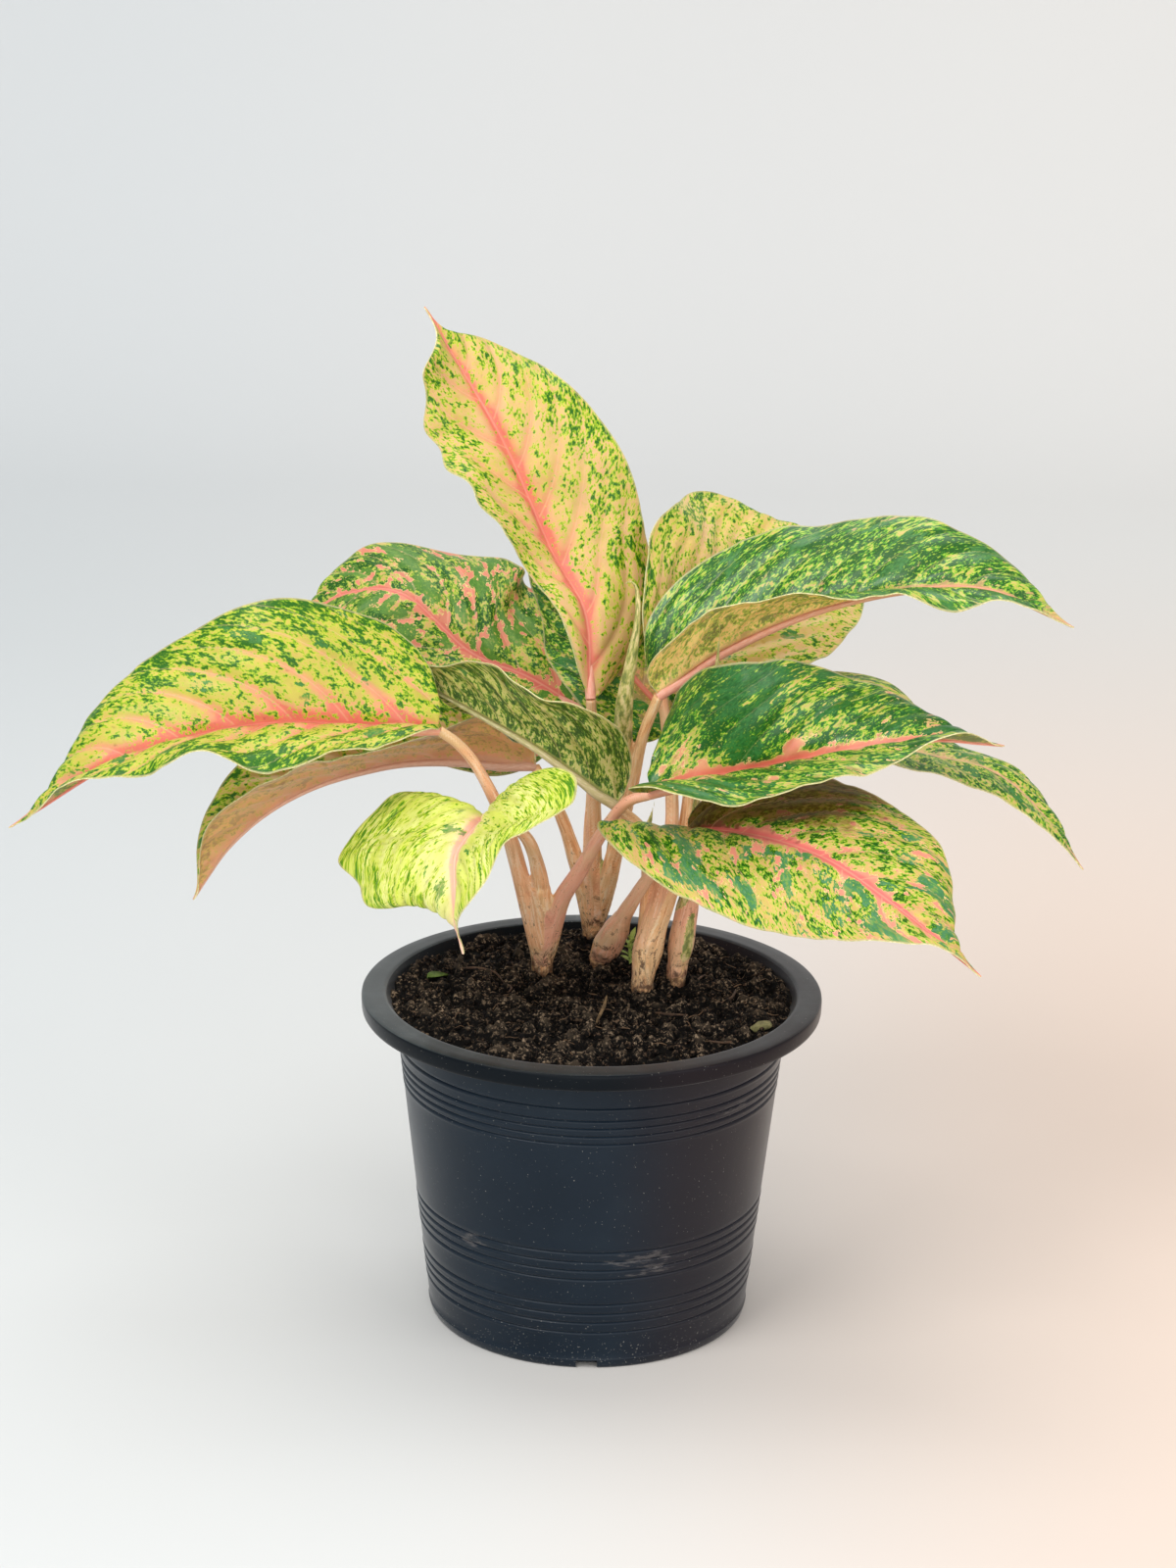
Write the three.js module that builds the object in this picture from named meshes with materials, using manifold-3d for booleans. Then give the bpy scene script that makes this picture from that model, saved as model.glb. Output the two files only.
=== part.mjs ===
// A potted Chinese evergreen: a black nursery pot full of soil, five shoots with their leaf stalks,
// and twelve leaf blades. Millimetres, +Z up, the origin at the middle of the pot's foot.
import * as THREE from 'three';
import { mergeVertices } from 'three/addons/utils/BufferGeometryUtils.js';
import Module from 'manifold-3d';

const wasm = await Module();
wasm.setup();

// Driving dimensions of the pot
const footRadius = 70;
const bodyTopRadius = 85;
const bodyTopHeight = 137;
const rimRadius = 100;
const rimHeight = 147;
const rimCrestRadius = 90.5;
const wall = 2;
const lipHeight = 7.8;
const baseThickness = 2.5;
const potSides = 48;
const drainSlots = 4;
const drainWidth = 9;
const drainHeight = 3.9;
const drainDepth = 14;

// Driving dimensions of the soil
const clearance = 0.35;
const soilEdgeHeight = 144.6;
const soilMiddleHeight = 145;
const soilLump = 0.8;
const soilEdgeRadius = 87.4;
const soilRings = 8;
const holeDepth = 20;

// Driving dimensions of the blades and stalks
const bladeThickness = 0.9;
const bladeTipHalfWidth = 1;
const openWidth = 7;
const rowsAlongBlade = 18;
const flatRows = 2;
const columnsPerHalf = 4;
const stalkSides = 8;
const stalkDrop = 1.1;
const stalkStart = 150;
const stalkRadii = [4.6, 4.2, 3.6, 3, 1.4];
const caneSides = 10;
const caneFoot = 0.65;
const caneShares = [caneFoot, caneFoot, caneFoot, 0.95, 0.85, 0.6];
const lobeShare = 0.35;

// Materials
const surface = (color, roughness) => new THREE.MeshStandardMaterial({ color, roughness, metalness: 0 });
const potPlastic = surface('#23252a', 0.6);
const soilPeat = surface('#2a201a', 1);
const stalkSkin = surface('#d9b9a0', 0.5);
const weedGreen = surface('#a9b870', 0.7);
const bladeColours = {
  peach: surface('#dfcf9c', 0.4),
  yellow: surface('#c9cf6a', 0.4),
  salmon: surface('#8f8a5c', 0.4),
  green: surface('#5f7a46', 0.35),
};

// Closed geometry to solid and back
function welded(geometry) {
  const bare = geometry.clone();
  bare.deleteAttribute('normal');
  bare.deleteAttribute('uv');
  return mergeVertices(bare, 1e-4);
}

function toSolid(geometry) {
  const merged = welded(geometry);
  return new wasm.Manifold(new wasm.Mesh({
    numProp: 3,
    vertProperties: new Float32Array(merged.attributes.position.array),
    triVerts: new Uint32Array(merged.index.array),
  }));
}

function toGeometry(solid) {
  const mesh = solid.getMesh();
  const geometry = new THREE.BufferGeometry();
  geometry.setAttribute('position', new THREE.BufferAttribute(mesh.vertProperties, 3));
  geometry.setIndex(new THREE.BufferAttribute(mesh.triVerts, 1));
  geometry.computeVertexNormals();
  return geometry;
}

const joined = (geometries) => toGeometry(geometries.map(toSolid).reduce((all, next) => all.add(next)));

function cutFrom(geometry, cutters) {
  const cut = (left, cutter) => left.subtract(cutter);
  return toGeometry(cutters.map(toSolid).reduce(cut, toSolid(geometry)));
}

// A profile of [radius, height] pairs turned round the Z axis
function turned(profile) {
  const points = profile.map(([radius, height]) => new THREE.Vector2(radius, height));
  return new THREE.LatheGeometry(points, potSides).rotateX(Math.PI / 2);
}

function uprightCylinder(radius, bottom, top, [x, y], sides = 16) {
  const cylinder = new THREE.CylinderGeometry(radius, radius, top - bottom, sides);
  return cylinder.rotateX(Math.PI / 2).translate(x, y, (top + bottom) / 2);
}

const curveThrough = (points) =>
  new THREE.CatmullRomCurve3(points.map((p) => new THREE.Vector3(...p)), false, 'catmullrom', 0.5);

const mean = (values) => values.reduce((sum, value) => sum + value, 0) / values.length;

// The value at s, from 0 to 1, of a list of values spaced evenly, eased between neighbours
function eased(values, s) {
  const place = (values.length - 1) * s;
  const i = Math.min(Math.floor(place), values.length - 2);
  const t = place - i;
  const ease = t * t * (3 - 2 * t);
  return values[i] * (1 - ease) + values[i + 1] * ease;
}

// A closed triangle mesh of rings of equal length, capped at both ends
function ringsToGeometry(rings) {
  const count = rings[0].length;
  const positions = rings.flat().flatMap((p) => [p.x, p.y, p.z]);
  const faces = [];
  for (let i = 0; i + 1 < rings.length; i++) {
    for (let j = 0; j < count; j++) {
      const a = i * count + j;
      const b = i * count + ((j + 1) % count);
      faces.push(a, b, b + count, a, b + count, a + count);
    }
  }
  const last = (rings.length - 1) * count;
  for (let j = 1; j + 1 < count; j++) {
    faces.push(0, j + 1, j, last, last + j, last + j + 1);
  }
  const geometry = new THREE.BufferGeometry();
  geometry.setAttribute('position', new THREE.Float32BufferAttribute(positions, 3));
  geometry.setIndex(faces);
  return geometry;
}

// A round stalk along a smooth route, with its radius eased through a list
function stalk(points, radii, sides = stalkSides) {
  const curve = curveThrough(points);
  const steps = 2 * (points.length - 1) + 2;
  const { normals, binormals } = curve.computeFrenetFrames(steps, false);
  const rings = [];
  for (let i = 0; i <= steps; i++) {
    const centre = curve.getPointAt(i / steps);
    const radius = eased(radii, i / steps);
    const ring = [];
    for (let j = 0; j < sides; j++) {
      const angle = (2 * Math.PI * j) / sides;
      ring.push(centre.clone()
        .addScaledVector(normals[i], radius * Math.cos(angle))
        .addScaledVector(binormals[i], radius * Math.sin(angle)));
    }
    rings.push(ring);
  }
  return ringsToGeometry(rings);
}

// The pot: foot, tapering wall, and a flange with a turned-down lip round the top
function makePot() {
  const innerTopRadius = bodyTopRadius - wall;
  const profile = [
    [0, 0],
    [footRadius - 1, 0],
    [footRadius, 1],
    [footRadius + 0.8, 4],
    [footRadius + 0.5, 4.6],
    [bodyTopRadius, bodyTopHeight],
    [rimCrestRadius + 0.5, bodyTopHeight + 5.5],
    [rimRadius - 2.8, rimHeight - 4.4],
    [rimRadius - 2.8, rimHeight - lipHeight],
    [rimRadius - 1.2, rimHeight - lipHeight],
    [rimRadius - 0.3, rimHeight - lipHeight + 0.8],
    [rimRadius, rimHeight - 1.6],
    [rimRadius - 0.8, rimHeight - 0.5],
    [rimCrestRadius + 1, rimHeight],
    [rimCrestRadius - 0.8, rimHeight],
    [rimCrestRadius - 1.8, rimHeight - 1.2],
    [innerTopRadius, bodyTopHeight],
    [footRadius - wall + 0.5, baseThickness],
    [0, baseThickness],
  ];
  const slots = [];
  for (let i = 0; i < drainSlots; i++) {
    const slot = new THREE.BoxGeometry(drainWidth, drainDepth, drainHeight + 1);
    slot.translate(0, -footRadius, (drainHeight - 1) / 2);
    slots.push(slot.rotateZ((2 * Math.PI * i) / drainSlots));
  }
  return cutFrom(turned(profile), slots);
}

// The soil fills the pot to just under the crest, with a lumpy top and a plain hole for each shoot
function lump(x, y) {
  const broad = Math.sin(0.31 * x + 0.5) * Math.cos(0.27 * y);
  const slanted = Math.sin(0.53 * x - 0.41 * y);
  return soilLump * (broad + 0.6 * slanted);
}

function makeSoil(holes) {
  const gap = clearance + 0.05;
  const profile = [
    [0, baseThickness + gap],
    [footRadius - wall + 0.5 - gap, baseThickness + gap],
    [bodyTopRadius - wall - gap, bodyTopHeight],
    [soilEdgeRadius, soilEdgeHeight],
  ];
  for (let i = soilRings - 1; i >= 0; i--) {
    const share = i / soilRings;
    const height = soilMiddleHeight + (soilEdgeHeight - soilMiddleHeight) * share ** 2;
    profile.push([soilEdgeRadius * share, height]);
  }
  const body = welded(turned(profile));
  const place = body.attributes.position;
  for (let i = 0; i < place.count; i++) {
    const [x, y, z] = [place.getX(i), place.getY(i), place.getZ(i)];
    if (z > bodyTopHeight && Math.hypot(x, y) < soilEdgeRadius - 2) {
      place.setZ(i, z + lump(x, y));
    }
  }
  const cutters = holes.map(({ at, radius }) =>
    uprightCylinder(radius + clearance, soilEdgeHeight - holeDepth, rimHeight + 5, at));
  return cutFrom(body, cutters);
}

// Each shoot stands at a place on the soil, and carries the stalks of its leaves. The routes run from the
// cane to the blade.
const shoots = {
  shoot_left: {
    at: [-22, 26],
    radius: 7,
    stalks: {
      leaf_left: [[-24, 24, 160], [-31, 20, 189], [-37, 14, 213], [-44, 9, 232], [-52, 5, 248],
        [-59, 2, 257]],
      leaf_small_front: [[-21, 24, 165], [-23, 18, 190], [-28, 6, 212], [-37, -6, 224]],
      leaf_mid_right: [[-19, 24, 160], [-14, 18, 181], [-6, 11, 197], [3, 1, 217], [13, -8, 234]],
    },
  },
  shoot_back: {
    at: [0, 71],
    radius: 6.5,
    stalks: {
      leaf_top: [[0, 69, 160], [0, 63, 180], [0, 49, 220], [-1, 39, 250]],
      leaf_low_left: [[-2, 71, 160], [-7, 69, 180], [-15, 67, 205]],
      leaf_upper_right: [[3, 68, 160], [7, 60, 178], [12, 46, 206], [17, 34, 232], [21, 27, 255]],
      leaf_back_left: [[-1, 72, 165], [-1, 75, 196], [-1, 81, 225]],
    },
  },
  shoot_front: {
    at: [4, 34],
    radius: 7,
    stalks: {
      leaf_low_right: [[8, 26, 160], [13, 14, 175], [21, 3, 193], [30, 1, 207]],
    },
  },
  shoot_middle: {
    at: [22, 1],
    radius: 7,
    stalks: {
      leaf_centre: [[23, 3, 160], [24, 11, 178], [24, 16, 196], [21, 14, 215]],
      leaf_back_right: [[24, 3, 165], [31, 11, 191], [34, 22, 218], [32, 34, 246]],
      leaf_back: [[25, 3, 165], [35, 15, 193], [41, 31, 222], [41, 47, 245]],
    },
  },
  shoot_right: {
    at: [37, 12],
    radius: 6,
    stalks: {
      leaf_far_right: [[39, 13, 165], [43, 18, 190], [47, 28, 213]],
    },
  },
};

// Rolled young leaves and dry sheath tips, which end in a point
const spears = {
  shoot_back: [
    {
      route: [[3, 66, 165], [8, 57, 190], [12, 42, 225], [12, 28, 256], [13, 19, 277], [17, 14, 306],
        [13, 14, 328]],
      radii: [2.2, 2, 1.8, 2.3, 2.1, 0.5],
    },
  ],
  shoot_middle: [
    { route: [[25, 13, 195], [23, 12, 212], [26, 12, 229]], radii: [2, 2, 0.5] },
  ],
  shoot_right: [
    {
      route: [[38, 11, 160], [41, 13, 192], [44, 13, 227], [48, 9, 264], [51, 4, 290], [52, 1, 313]],
      radii: [2.4, 2, 1.7, 1.7, 0.5],
    },
  ],
};

// A blade lies along its midrib. Each half has a width, two fall powers that shape its outline towards the
// base and the tip, and the angles in degrees by which it stands above the midrib's own level from base to
// tip. Its curl is in degrees from midrib to margin, a lobe carries the margin back past the base, and the
// margin's wave has a count, a height and a phase. A half lies flat at both ends, and stands at its full
// angle where it is openWidth wide.
function half(width, base, tip, angles, { curl = 0, lobe = 0, wave = [3, 2, 0] } = {}) {
  return { width, base, tip, angles, curl, lobe, wave };
}

const blades = {
  leaf_top: {
    colour: 'peach',
    midrib: [[-2, 34, 269], [-5, 48, 303], [-20, 62, 327], [-41, 76, 371], [-62, 86, 405], [-77, 90, 429]],
    up: [0.15, -0.85, 0.5],
    left: half(30, 1, 0.5, [10, 45, 15, 55], { wave: [2.1, 9, -0.9] }),
    right: half(45, 0.7, 0.85, [-35, 5, 15, -40], { curl: -15, wave: [1.9, -4.5, 0.85] }),
  },
  leaf_left: {
    colour: 'yellow',
    midrib: [[-67, 0, 264], [-103, -6, 267], [-135, -12, 269], [-168, -16, 264], [-205, -20, 252],
      [-247, -22, 224]],
    up: [0, -0.25, 1],
    left: half(37, 0.4, 0.9, [30, 5, 20, 35], { curl: -5, wave: [3.6, -5.5, -0.15] }),
    right: half(51, 0.42, 0.95, [50, 70, 40, -10], { curl: -25, wave: [4, 1.5, -0.15] }),
  },
  leaf_back_left: {
    colour: 'salmon',
    midrib: [[-7, 84, 250], [-30, 88, 263], [-57, 94, 273], [-88, 108, 296], [-116, 120, 292],
      [-139, 126, 275]],
    up: [-0.1, -0.55, 0.8],
    left: half(50, 0.3, 0.9, [-30, -25, -10, 0], { wave: [4, 3, 0.4] }),
    right: half(42, 0.5, 0.8, [20, 30, -5, 10], { curl: -10, wave: [3.1, -4.5, 0.4] }),
  },
  leaf_back: {
    colour: 'green',
    midrib: [[36, 52, 252], [16, 56, 273], [-4, 66, 297], [-22, 78, 320], [-35, 86, 334]],
    up: [0.1, -0.8, 0.6],
    left: half(27, 0.4, 0.9, [0, 5, -50, -20]),
    right: half(34, 0.45, 0.85, [5, 5, 0, 0], { curl: -10 }),
  },
  leaf_back_right: {
    colour: 'peach',
    midrib: [[29, 44, 270], [39, 56, 286], [57, 74, 301], [77, 96, 310], [100, 116, 317], [126, 136, 320]],
    up: [-0.2, -0.7, 0.65],
    left: half(51, 0.6, 0.8, [75, 50, 5, -40], { wave: [3.1, 4.5, 0.4] }),
    right: half(49, 0.55, 0.65, [0, 0, 5, 5], { curl: -10, wave: [4, 1.5, -0.05] }),
  },
  leaf_upper_right: {
    colour: 'green',
    midrib: [[27, 20, 275], [55, 16, 297], [94, 8, 317], [134, 0, 328], [166, -6, 329], [199, -12, 315]],
    up: [0, -0.3, 1],
    left: half(42, 0.48, 0.88, [60, 40, 35, 0], { curl: -15, wave: [2.8, -2.5, 0.95] }),
    right: half(24, 0.35, 0.7, [85, 65, 35, 0, 40], { wave: [4.7, 3, 0.3] }),
  },
  leaf_mid_right: {
    colour: 'green',
    midrib: [[24, -16, 242], [38, -20, 248], [79, -26, 259], [116, -30, 268], [143, -32, 272],
      [170, -32, 269]],
    up: [0, -0.2, 1],
    left: half(45, 0.35, 0.92, [35, 95, 30, -10], { curl: -20, wave: [3.1, 2, 0.2] }),
    right: half(38, 0.3, 0.8, [30, 5, 10, 45], { lobe: 4, wave: [2.2, -2.5, -0.15] }),
  },
  leaf_low_right: {
    colour: 'salmon',
    midrib: [[39, 0, 219], [53, -24, 228], [75, -48, 232], [98, -68, 229], [123, -88, 217],
      [142, -100, 205], [156, -106, 194]],
    up: [0, -0.3, 1],
    left: half(45, 0.6, 0.7, [55, 15, 10, -25], { curl: -15, wave: [3, 1.5, 0.3] }),
    right: half(49, 0.22, 0.8, [25, -10, -20, 45], { lobe: 10, wave: [1.7, 4, 0.9] }),
  },
  leaf_centre: {
    colour: 'green',
    midrib: [[9, 2, 231], [-9, -1, 246], [-26, 2, 257], [-45, 9, 266], [-66, 24, 273], [-88, 38, 280]],
    up: [0, 0.7, 0.7],
    left: half(29, 0.43, 0.85, [45, 15, 25, 25], { wave: [2.8, -3.5, 0.05] }),
    right: half(20, 0.5, 0.8, [55, 35, 5, 20], { wave: [2.9, 3.5, 0.45] }),
  },
  leaf_far_right: {
    colour: 'green',
    midrib: [[51, 40, 231], [74, 44, 243], [108, 38, 255], [135, 28, 249], [170, 14, 245], [192, 4, 229],
      [210, -4, 206]],
    up: [0, -0.2, 1],
    left: half(42, 0.4, 0.87, [45, 20, -15, -15], { curl: -25, wave: [2.2, -3.5, 0.2] }),
    right: half(31, 0.5, 0.77, [0, 15, 5, 25], { curl: 10, wave: [5, 0.5, 0.2] }),
  },
  leaf_small_front: {
    colour: 'yellow',
    midrib: [[-46, -16, 230], [-52, -36, 229], [-57, -54, 225], [-57, -66, 215], [-56, -72, 202],
      [-53, -74, 189]],
    up: [0, -0.5, 0.85],
    left: half(51, 0.38, 1.2, [60, 30, 60, 125], { lobe: 6, wave: [1.9, -9, -0.8] }),
    right: half(55, 0.55, 1.15, [20, -10, -30, -95], { curl: -27, lobe: 7, wave: [2, 2.5, 0] }),
  },
  leaf_low_left: {
    colour: 'salmon',
    midrib: [[-27, 62, 230], [-72, 52, 235], [-106, 40, 232], [-135, 26, 223], [-158, 14, 206],
      [-173, 4, 184]],
    up: [0, -0.2, 1],
    left: half(40, 0.55, 0.83, [80, 40, 50, 100], { wave: [1.9, 3.5, 0.8] }),
    right: half(30, 0.5, 0.8, [60, 60, 40, 20]),
  },
};

// The share of its full width that a half has at s, 1 where it is widest
function outline(s, base, tip) {
  const widest = base / (base + tip);
  return (s ** base * (1 - s) ** tip) / (widest ** base * (1 - widest) ** tip);
}

// A function that gives the point of a blade's middle surface at s along the midrib and t across it,
// from -1 at the left margin to 1 at the right one
function bladeSurface(blade) {
  const curve = curveThrough(blade.midrib);
  const up = new THREE.Vector3(...blade.up).normalize();
  return (s, t) => {
    const point = curve.getPointAt(s);
    const ahead = curve.getPointAt(Math.min(s + 0.01, 1));
    const along = ahead.sub(curve.getPointAt(Math.max(s - 0.01, 0))).normalize();
    const side = along.clone().cross(up).normalize();
    const normal = side.clone().cross(along);
    const { width, base, tip, angles, curl, lobe, wave } = t > 0 ? blade.right : blade.left;
    const [count, height, phase] = wave;
    const reach = Math.abs(t);
    const full = bladeTipHalfWidth + width * outline(s, base, tip);
    const open = Math.min(1, (full - bladeTipHalfWidth) / openWidth);
    const start = THREE.MathUtils.degToRad(open * eased(angles, s));
    const bend = THREE.MathUtils.degToRad(curl || 0.01);
    const across = (full / bend) * (Math.sin(start + bend * reach) - Math.sin(start));
    const rise = (full / bend) * (Math.cos(start) - Math.cos(start + bend * reach));
    const ripple = height * reach ** 2 * Math.sin(2 * Math.PI * (count * s + phase)) * outline(s, 1, 1);
    const lobeReach = (reach * Math.max(0, 1 - s / lobeShare)) ** 1.5;
    const back = (lobe * lobeReach * full) / (bladeTipHalfWidth + width);
    return point
      .addScaledVector(side, Math.sign(t) * across)
      .addScaledVector(normal, rise + ripple)
      .addScaledVector(along, -back);
  };
}

// A blade is a thin closed shell. Both faces are split into triangles alike, so that they never cross, and
// in the narrow rows at both ends the whole row is thickened one way.
function makeBlade(blade) {
  const at = bladeSurface(blade);
  const columns = 2 * columnsPerHalf;
  const grid = [];
  for (let i = 0; i <= rowsAlongBlade; i++) {
    const s = (1 - Math.cos((Math.PI * i) / rowsAlongBlade)) / 2;
    const row = [];
    for (let j = 0; j <= columns; j++) {
      row.push(at(s, j / columnsPerHalf - 1));
    }
    grid.push(row);
  }
  const pick = (i, j) => grid[Math.min(Math.max(i, 0), rowsAlongBlade)][Math.min(Math.max(j, 0), columns)];
  const rings = grid.map((row, i) => {
    const offsets = row.map((_, j) => {
      const alongRow = pick(i, j + 1).clone().sub(pick(i, j - 1));
      const alongRib = pick(i + 1, j).clone().sub(pick(i - 1, j));
      return alongRow.cross(alongRib).normalize().multiplyScalar(bladeThickness / 2);
    });
    if (i < flatRows || i > rowsAlongBlade - flatRows) {
      offsets.fill(offsets[columnsPerHalf]);
    }
    const upper = row.map((p, j) => p.clone().add(offsets[j]));
    const lower = row.map((p, j) => p.clone().sub(offsets[j]));
    return [...upper, ...lower.reverse()];
  });
  return bladeShell(rings, columns + 1);
}

// Joins rows of upper points, left to right, and lower points, right to left, into one shell
function bladeShell(rings, width) {
  const count = 2 * width;
  const positions = rings.flat().flatMap((p) => [p.x, p.y, p.z]);
  const faces = [];
  const upper = (i, j) => i * count + j;
  const lower = (i, j) => i * count + count - 1 - j;
  const quad = (a, b, c, d) => faces.push(a, b, c, a, c, d);
  const lastRow = rings.length - 1;
  for (let i = 0; i < lastRow; i++) {
    for (let j = 0; j + 1 < width; j++) {
      quad(upper(i, j), upper(i, j + 1), upper(i + 1, j + 1), upper(i + 1, j));
      faces.push(lower(i, j), lower(i + 1, j + 1), lower(i, j + 1));
      faces.push(lower(i, j), lower(i + 1, j), lower(i + 1, j + 1));
    }
    quad(lower(i, 0), upper(i, 0), upper(i + 1, 0), lower(i + 1, 0));
    quad(upper(i, width - 1), lower(i, width - 1), lower(i + 1, width - 1), upper(i + 1, width - 1));
  }
  for (let j = 0; j + 1 < width; j++) {
    quad(lower(0, j), lower(0, j + 1), upper(0, j + 1), upper(0, j));
    quad(upper(lastRow, j), upper(lastRow, j + 1), lower(lastRow, j + 1), lower(lastRow, j));
  }
  const geometry = new THREE.BufferGeometry();
  geometry.setAttribute('position', new THREE.Float32BufferAttribute(positions, 3));
  geometry.setIndex(faces);
  geometry.computeVertexNormals();
  return geometry;
}

// The end of a stalk: just short of the blade's base, and a little under it
function stalkEnd(blade) {
  const [base, next] = blade.midrib.slice(0, 2).map((p) => new THREE.Vector3(...p));
  const along = next.clone().sub(base).normalize();
  const side = along.clone().cross(new THREE.Vector3(...blade.up)).normalize();
  const normal = side.cross(along);
  return base.addScaledVector(along, -2 * clearance).addScaledVector(normal, -stalkDrop).toArray();
}

// A shoot: a short cane in the soil with the stalks and spears fused into it
function makeShoot(name, { at: [x, y], radius, stalks }) {
  const bottom = soilEdgeHeight - holeDepth + clearance;
  const start = [x, y, stalkStart];
  const routes = Object.values(stalks);
  const middle = (i) => [0, 1, 2].map((axis) => mean(routes.map((route) => route[i][axis])));
  const canePoints = [[x, y, bottom], [x, y, bottom + holeDepth], start, middle(0), middle(1)];
  const parts = [stalk(canePoints, caneShares.map((share) => share * radius), caneSides)];
  for (const [leaf, route] of Object.entries(stalks)) {
    parts.push(stalk([start, ...route, stalkEnd(blades[leaf])], stalkRadii));
  }
  for (const { route, radii } of spears[name] ?? []) {
    parts.push(stalk([start, ...route], radii));
  }
  return joined(parts);
}

// The weed seedling: a thin stem with narrow leaflets round its top, which slope up in three tiers
const weed = {
  at: [17, 33],
  stemRadius: 0.7,
  height: 153,
  depth: 6,
  leaflets: 6,
  leafletLength: 7,
  leafletHalfWidth: 1.3,
  leafletHalfThickness: 0.4,
  slopes: [0.5, 0.75, 1],
  tierStep: 0.6,
};

function makeWeed() {
  const [x, y] = weed.at;
  const parts = [uprightCylinder(weed.stemRadius, soilEdgeHeight - weed.depth, weed.height, weed.at, 8)];
  for (let i = 0; i < weed.leaflets; i++) {
    const tier = i % weed.slopes.length;
    const leaflet = new THREE.SphereGeometry(1, 6, 4);
    leaflet.scale(weed.leafletLength / 2, weed.leafletHalfWidth, weed.leafletHalfThickness);
    leaflet.translate(weed.leafletLength / 2 - weed.stemRadius, 0, 0);
    leaflet.rotateY(-weed.slopes[tier]).rotateZ((2 * Math.PI * i) / weed.leaflets);
    parts.push(leaflet.translate(x, y, weed.height - (tier + 1) * weed.tierStep));
  }
  return joined(parts);
}

const plant = new THREE.Group();

function add(name, geometry, material) {
  const mesh = new THREE.Mesh(geometry, material);
  mesh.name = name;
  plant.add(mesh);
}

const weedHole = { at: weed.at, radius: weed.stemRadius };
const caneHoles = Object.values(shoots).map(({ at, radius }) => ({ at, radius: caneFoot * radius }));
add('pot', makePot(), potPlastic);
add('soil', makeSoil([...caneHoles, weedHole]), soilPeat);
add('weed_seedling', makeWeed(), weedGreen);
for (const [name, shoot] of Object.entries(shoots)) {
  add(name, makeShoot(name, shoot), stalkSkin);
}
for (const [name, blade] of Object.entries(blades)) {
  add(name, makeBlade(blade), bladeColours[blade.colour]);
}

export default plant;
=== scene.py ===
import math
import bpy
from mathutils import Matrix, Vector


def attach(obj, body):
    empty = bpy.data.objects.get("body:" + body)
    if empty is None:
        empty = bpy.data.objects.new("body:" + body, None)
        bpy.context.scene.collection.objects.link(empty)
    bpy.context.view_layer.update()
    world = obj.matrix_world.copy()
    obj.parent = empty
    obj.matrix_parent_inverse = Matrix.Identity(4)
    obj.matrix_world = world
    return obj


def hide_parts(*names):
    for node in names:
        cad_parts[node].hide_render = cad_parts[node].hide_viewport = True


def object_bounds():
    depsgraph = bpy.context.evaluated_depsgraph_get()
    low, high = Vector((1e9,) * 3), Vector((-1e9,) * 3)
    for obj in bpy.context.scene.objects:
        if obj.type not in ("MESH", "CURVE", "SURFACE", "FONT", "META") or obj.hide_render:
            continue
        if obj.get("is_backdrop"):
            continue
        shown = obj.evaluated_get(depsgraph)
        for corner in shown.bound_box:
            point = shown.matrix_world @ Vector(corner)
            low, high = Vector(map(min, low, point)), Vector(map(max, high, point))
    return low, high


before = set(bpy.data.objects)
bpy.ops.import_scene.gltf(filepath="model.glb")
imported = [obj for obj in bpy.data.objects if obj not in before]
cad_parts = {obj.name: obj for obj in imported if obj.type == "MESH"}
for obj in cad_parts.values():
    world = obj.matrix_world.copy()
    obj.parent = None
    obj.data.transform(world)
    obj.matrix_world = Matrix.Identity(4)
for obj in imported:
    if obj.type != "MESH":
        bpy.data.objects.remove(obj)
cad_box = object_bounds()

from types import SimpleNamespace

import bpy
import numpy as np
from mathutils import Vector
from mathutils.kdtree import KDTree

# A potted Chinese evergreen. Sizes are in millimetres, as in the CAD source, and MM turns them into metres.
MM = 0.001
SEED = 7
FULL_TURN = 2 * math.pi
CURVE_SAMPLES = 401

# Driving dimensions of the pot. Its section runs from the axis out under the foot, up the outside, over the
# rim and down the inside, and the wall with its ring grooves is worked out between the foot and the rim.
FOOT_RADIUS = 70
BODY_TOP_RADIUS = 85
BODY_TOP_HEIGHT = 137
FOOT_SECTION = ((0, 0), (68.6, 0), (69.6, 0.3), (70.1, 1), (70.7, 3.6), (70.8, 4.1), (70.5, 4.6))
RIM_SECTION = (
    (BODY_TOP_RADIUS, BODY_TOP_HEIGHT), (86.6, 139.2), (89, 141.3), (91, 142.5), (94.5, 142.9),
    (96.8, 142.7), (97.15, 142.2), (97.2, 139.7), (97.5, 139.3), (98.6, 139.2), (99.3, 139.4), (99.7, 140),
    (99.9, 141), (100, 145), (99.85, 146), (99.5, 146.5), (98.9, 146.75), (95, 146.85), (91.5, 147),
    (90.7, 147), (90, 146.9), (89.5, 146.5), (88.7, 145.6), (83, 137), (68.5, 2.5), (0, 2.5),
)
POT_SIDES = 224
WALL_STEPS = 40
ROUNDNESS_ERROR = 0.0012
RIM_WARP = 0.25
GROOVE_HEIGHTS = (125, 119.3, 115.7, 112, 108.4, 56.5, 52.2, 47.9, 43.6, 31.2, 26.6, 22.4, 17.6)
GROOVE_STEPS = (-2, -1.5, -1, -0.6, -0.3, -0.12, 0, 0.12, 0.3, 0.6)
GROOVE_DEPTH = 0.75
GROOVE_WIDTH = 1.2
GROOVE_LIP = 0.22
DRAIN_SLOTS = 4
DRAIN_WIDTH = 9
DRAIN_HEIGHT = 3.9
DRAIN_REACH = (FOOT_RADIUS - 6, FOOT_RADIUS + 3)
MARK_ANGLE = -95.5
MARK_CORNERS = ((84, -3, 132.2), (86.4, 3, 136.4))
MARK_TAPER = 0.6

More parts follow.
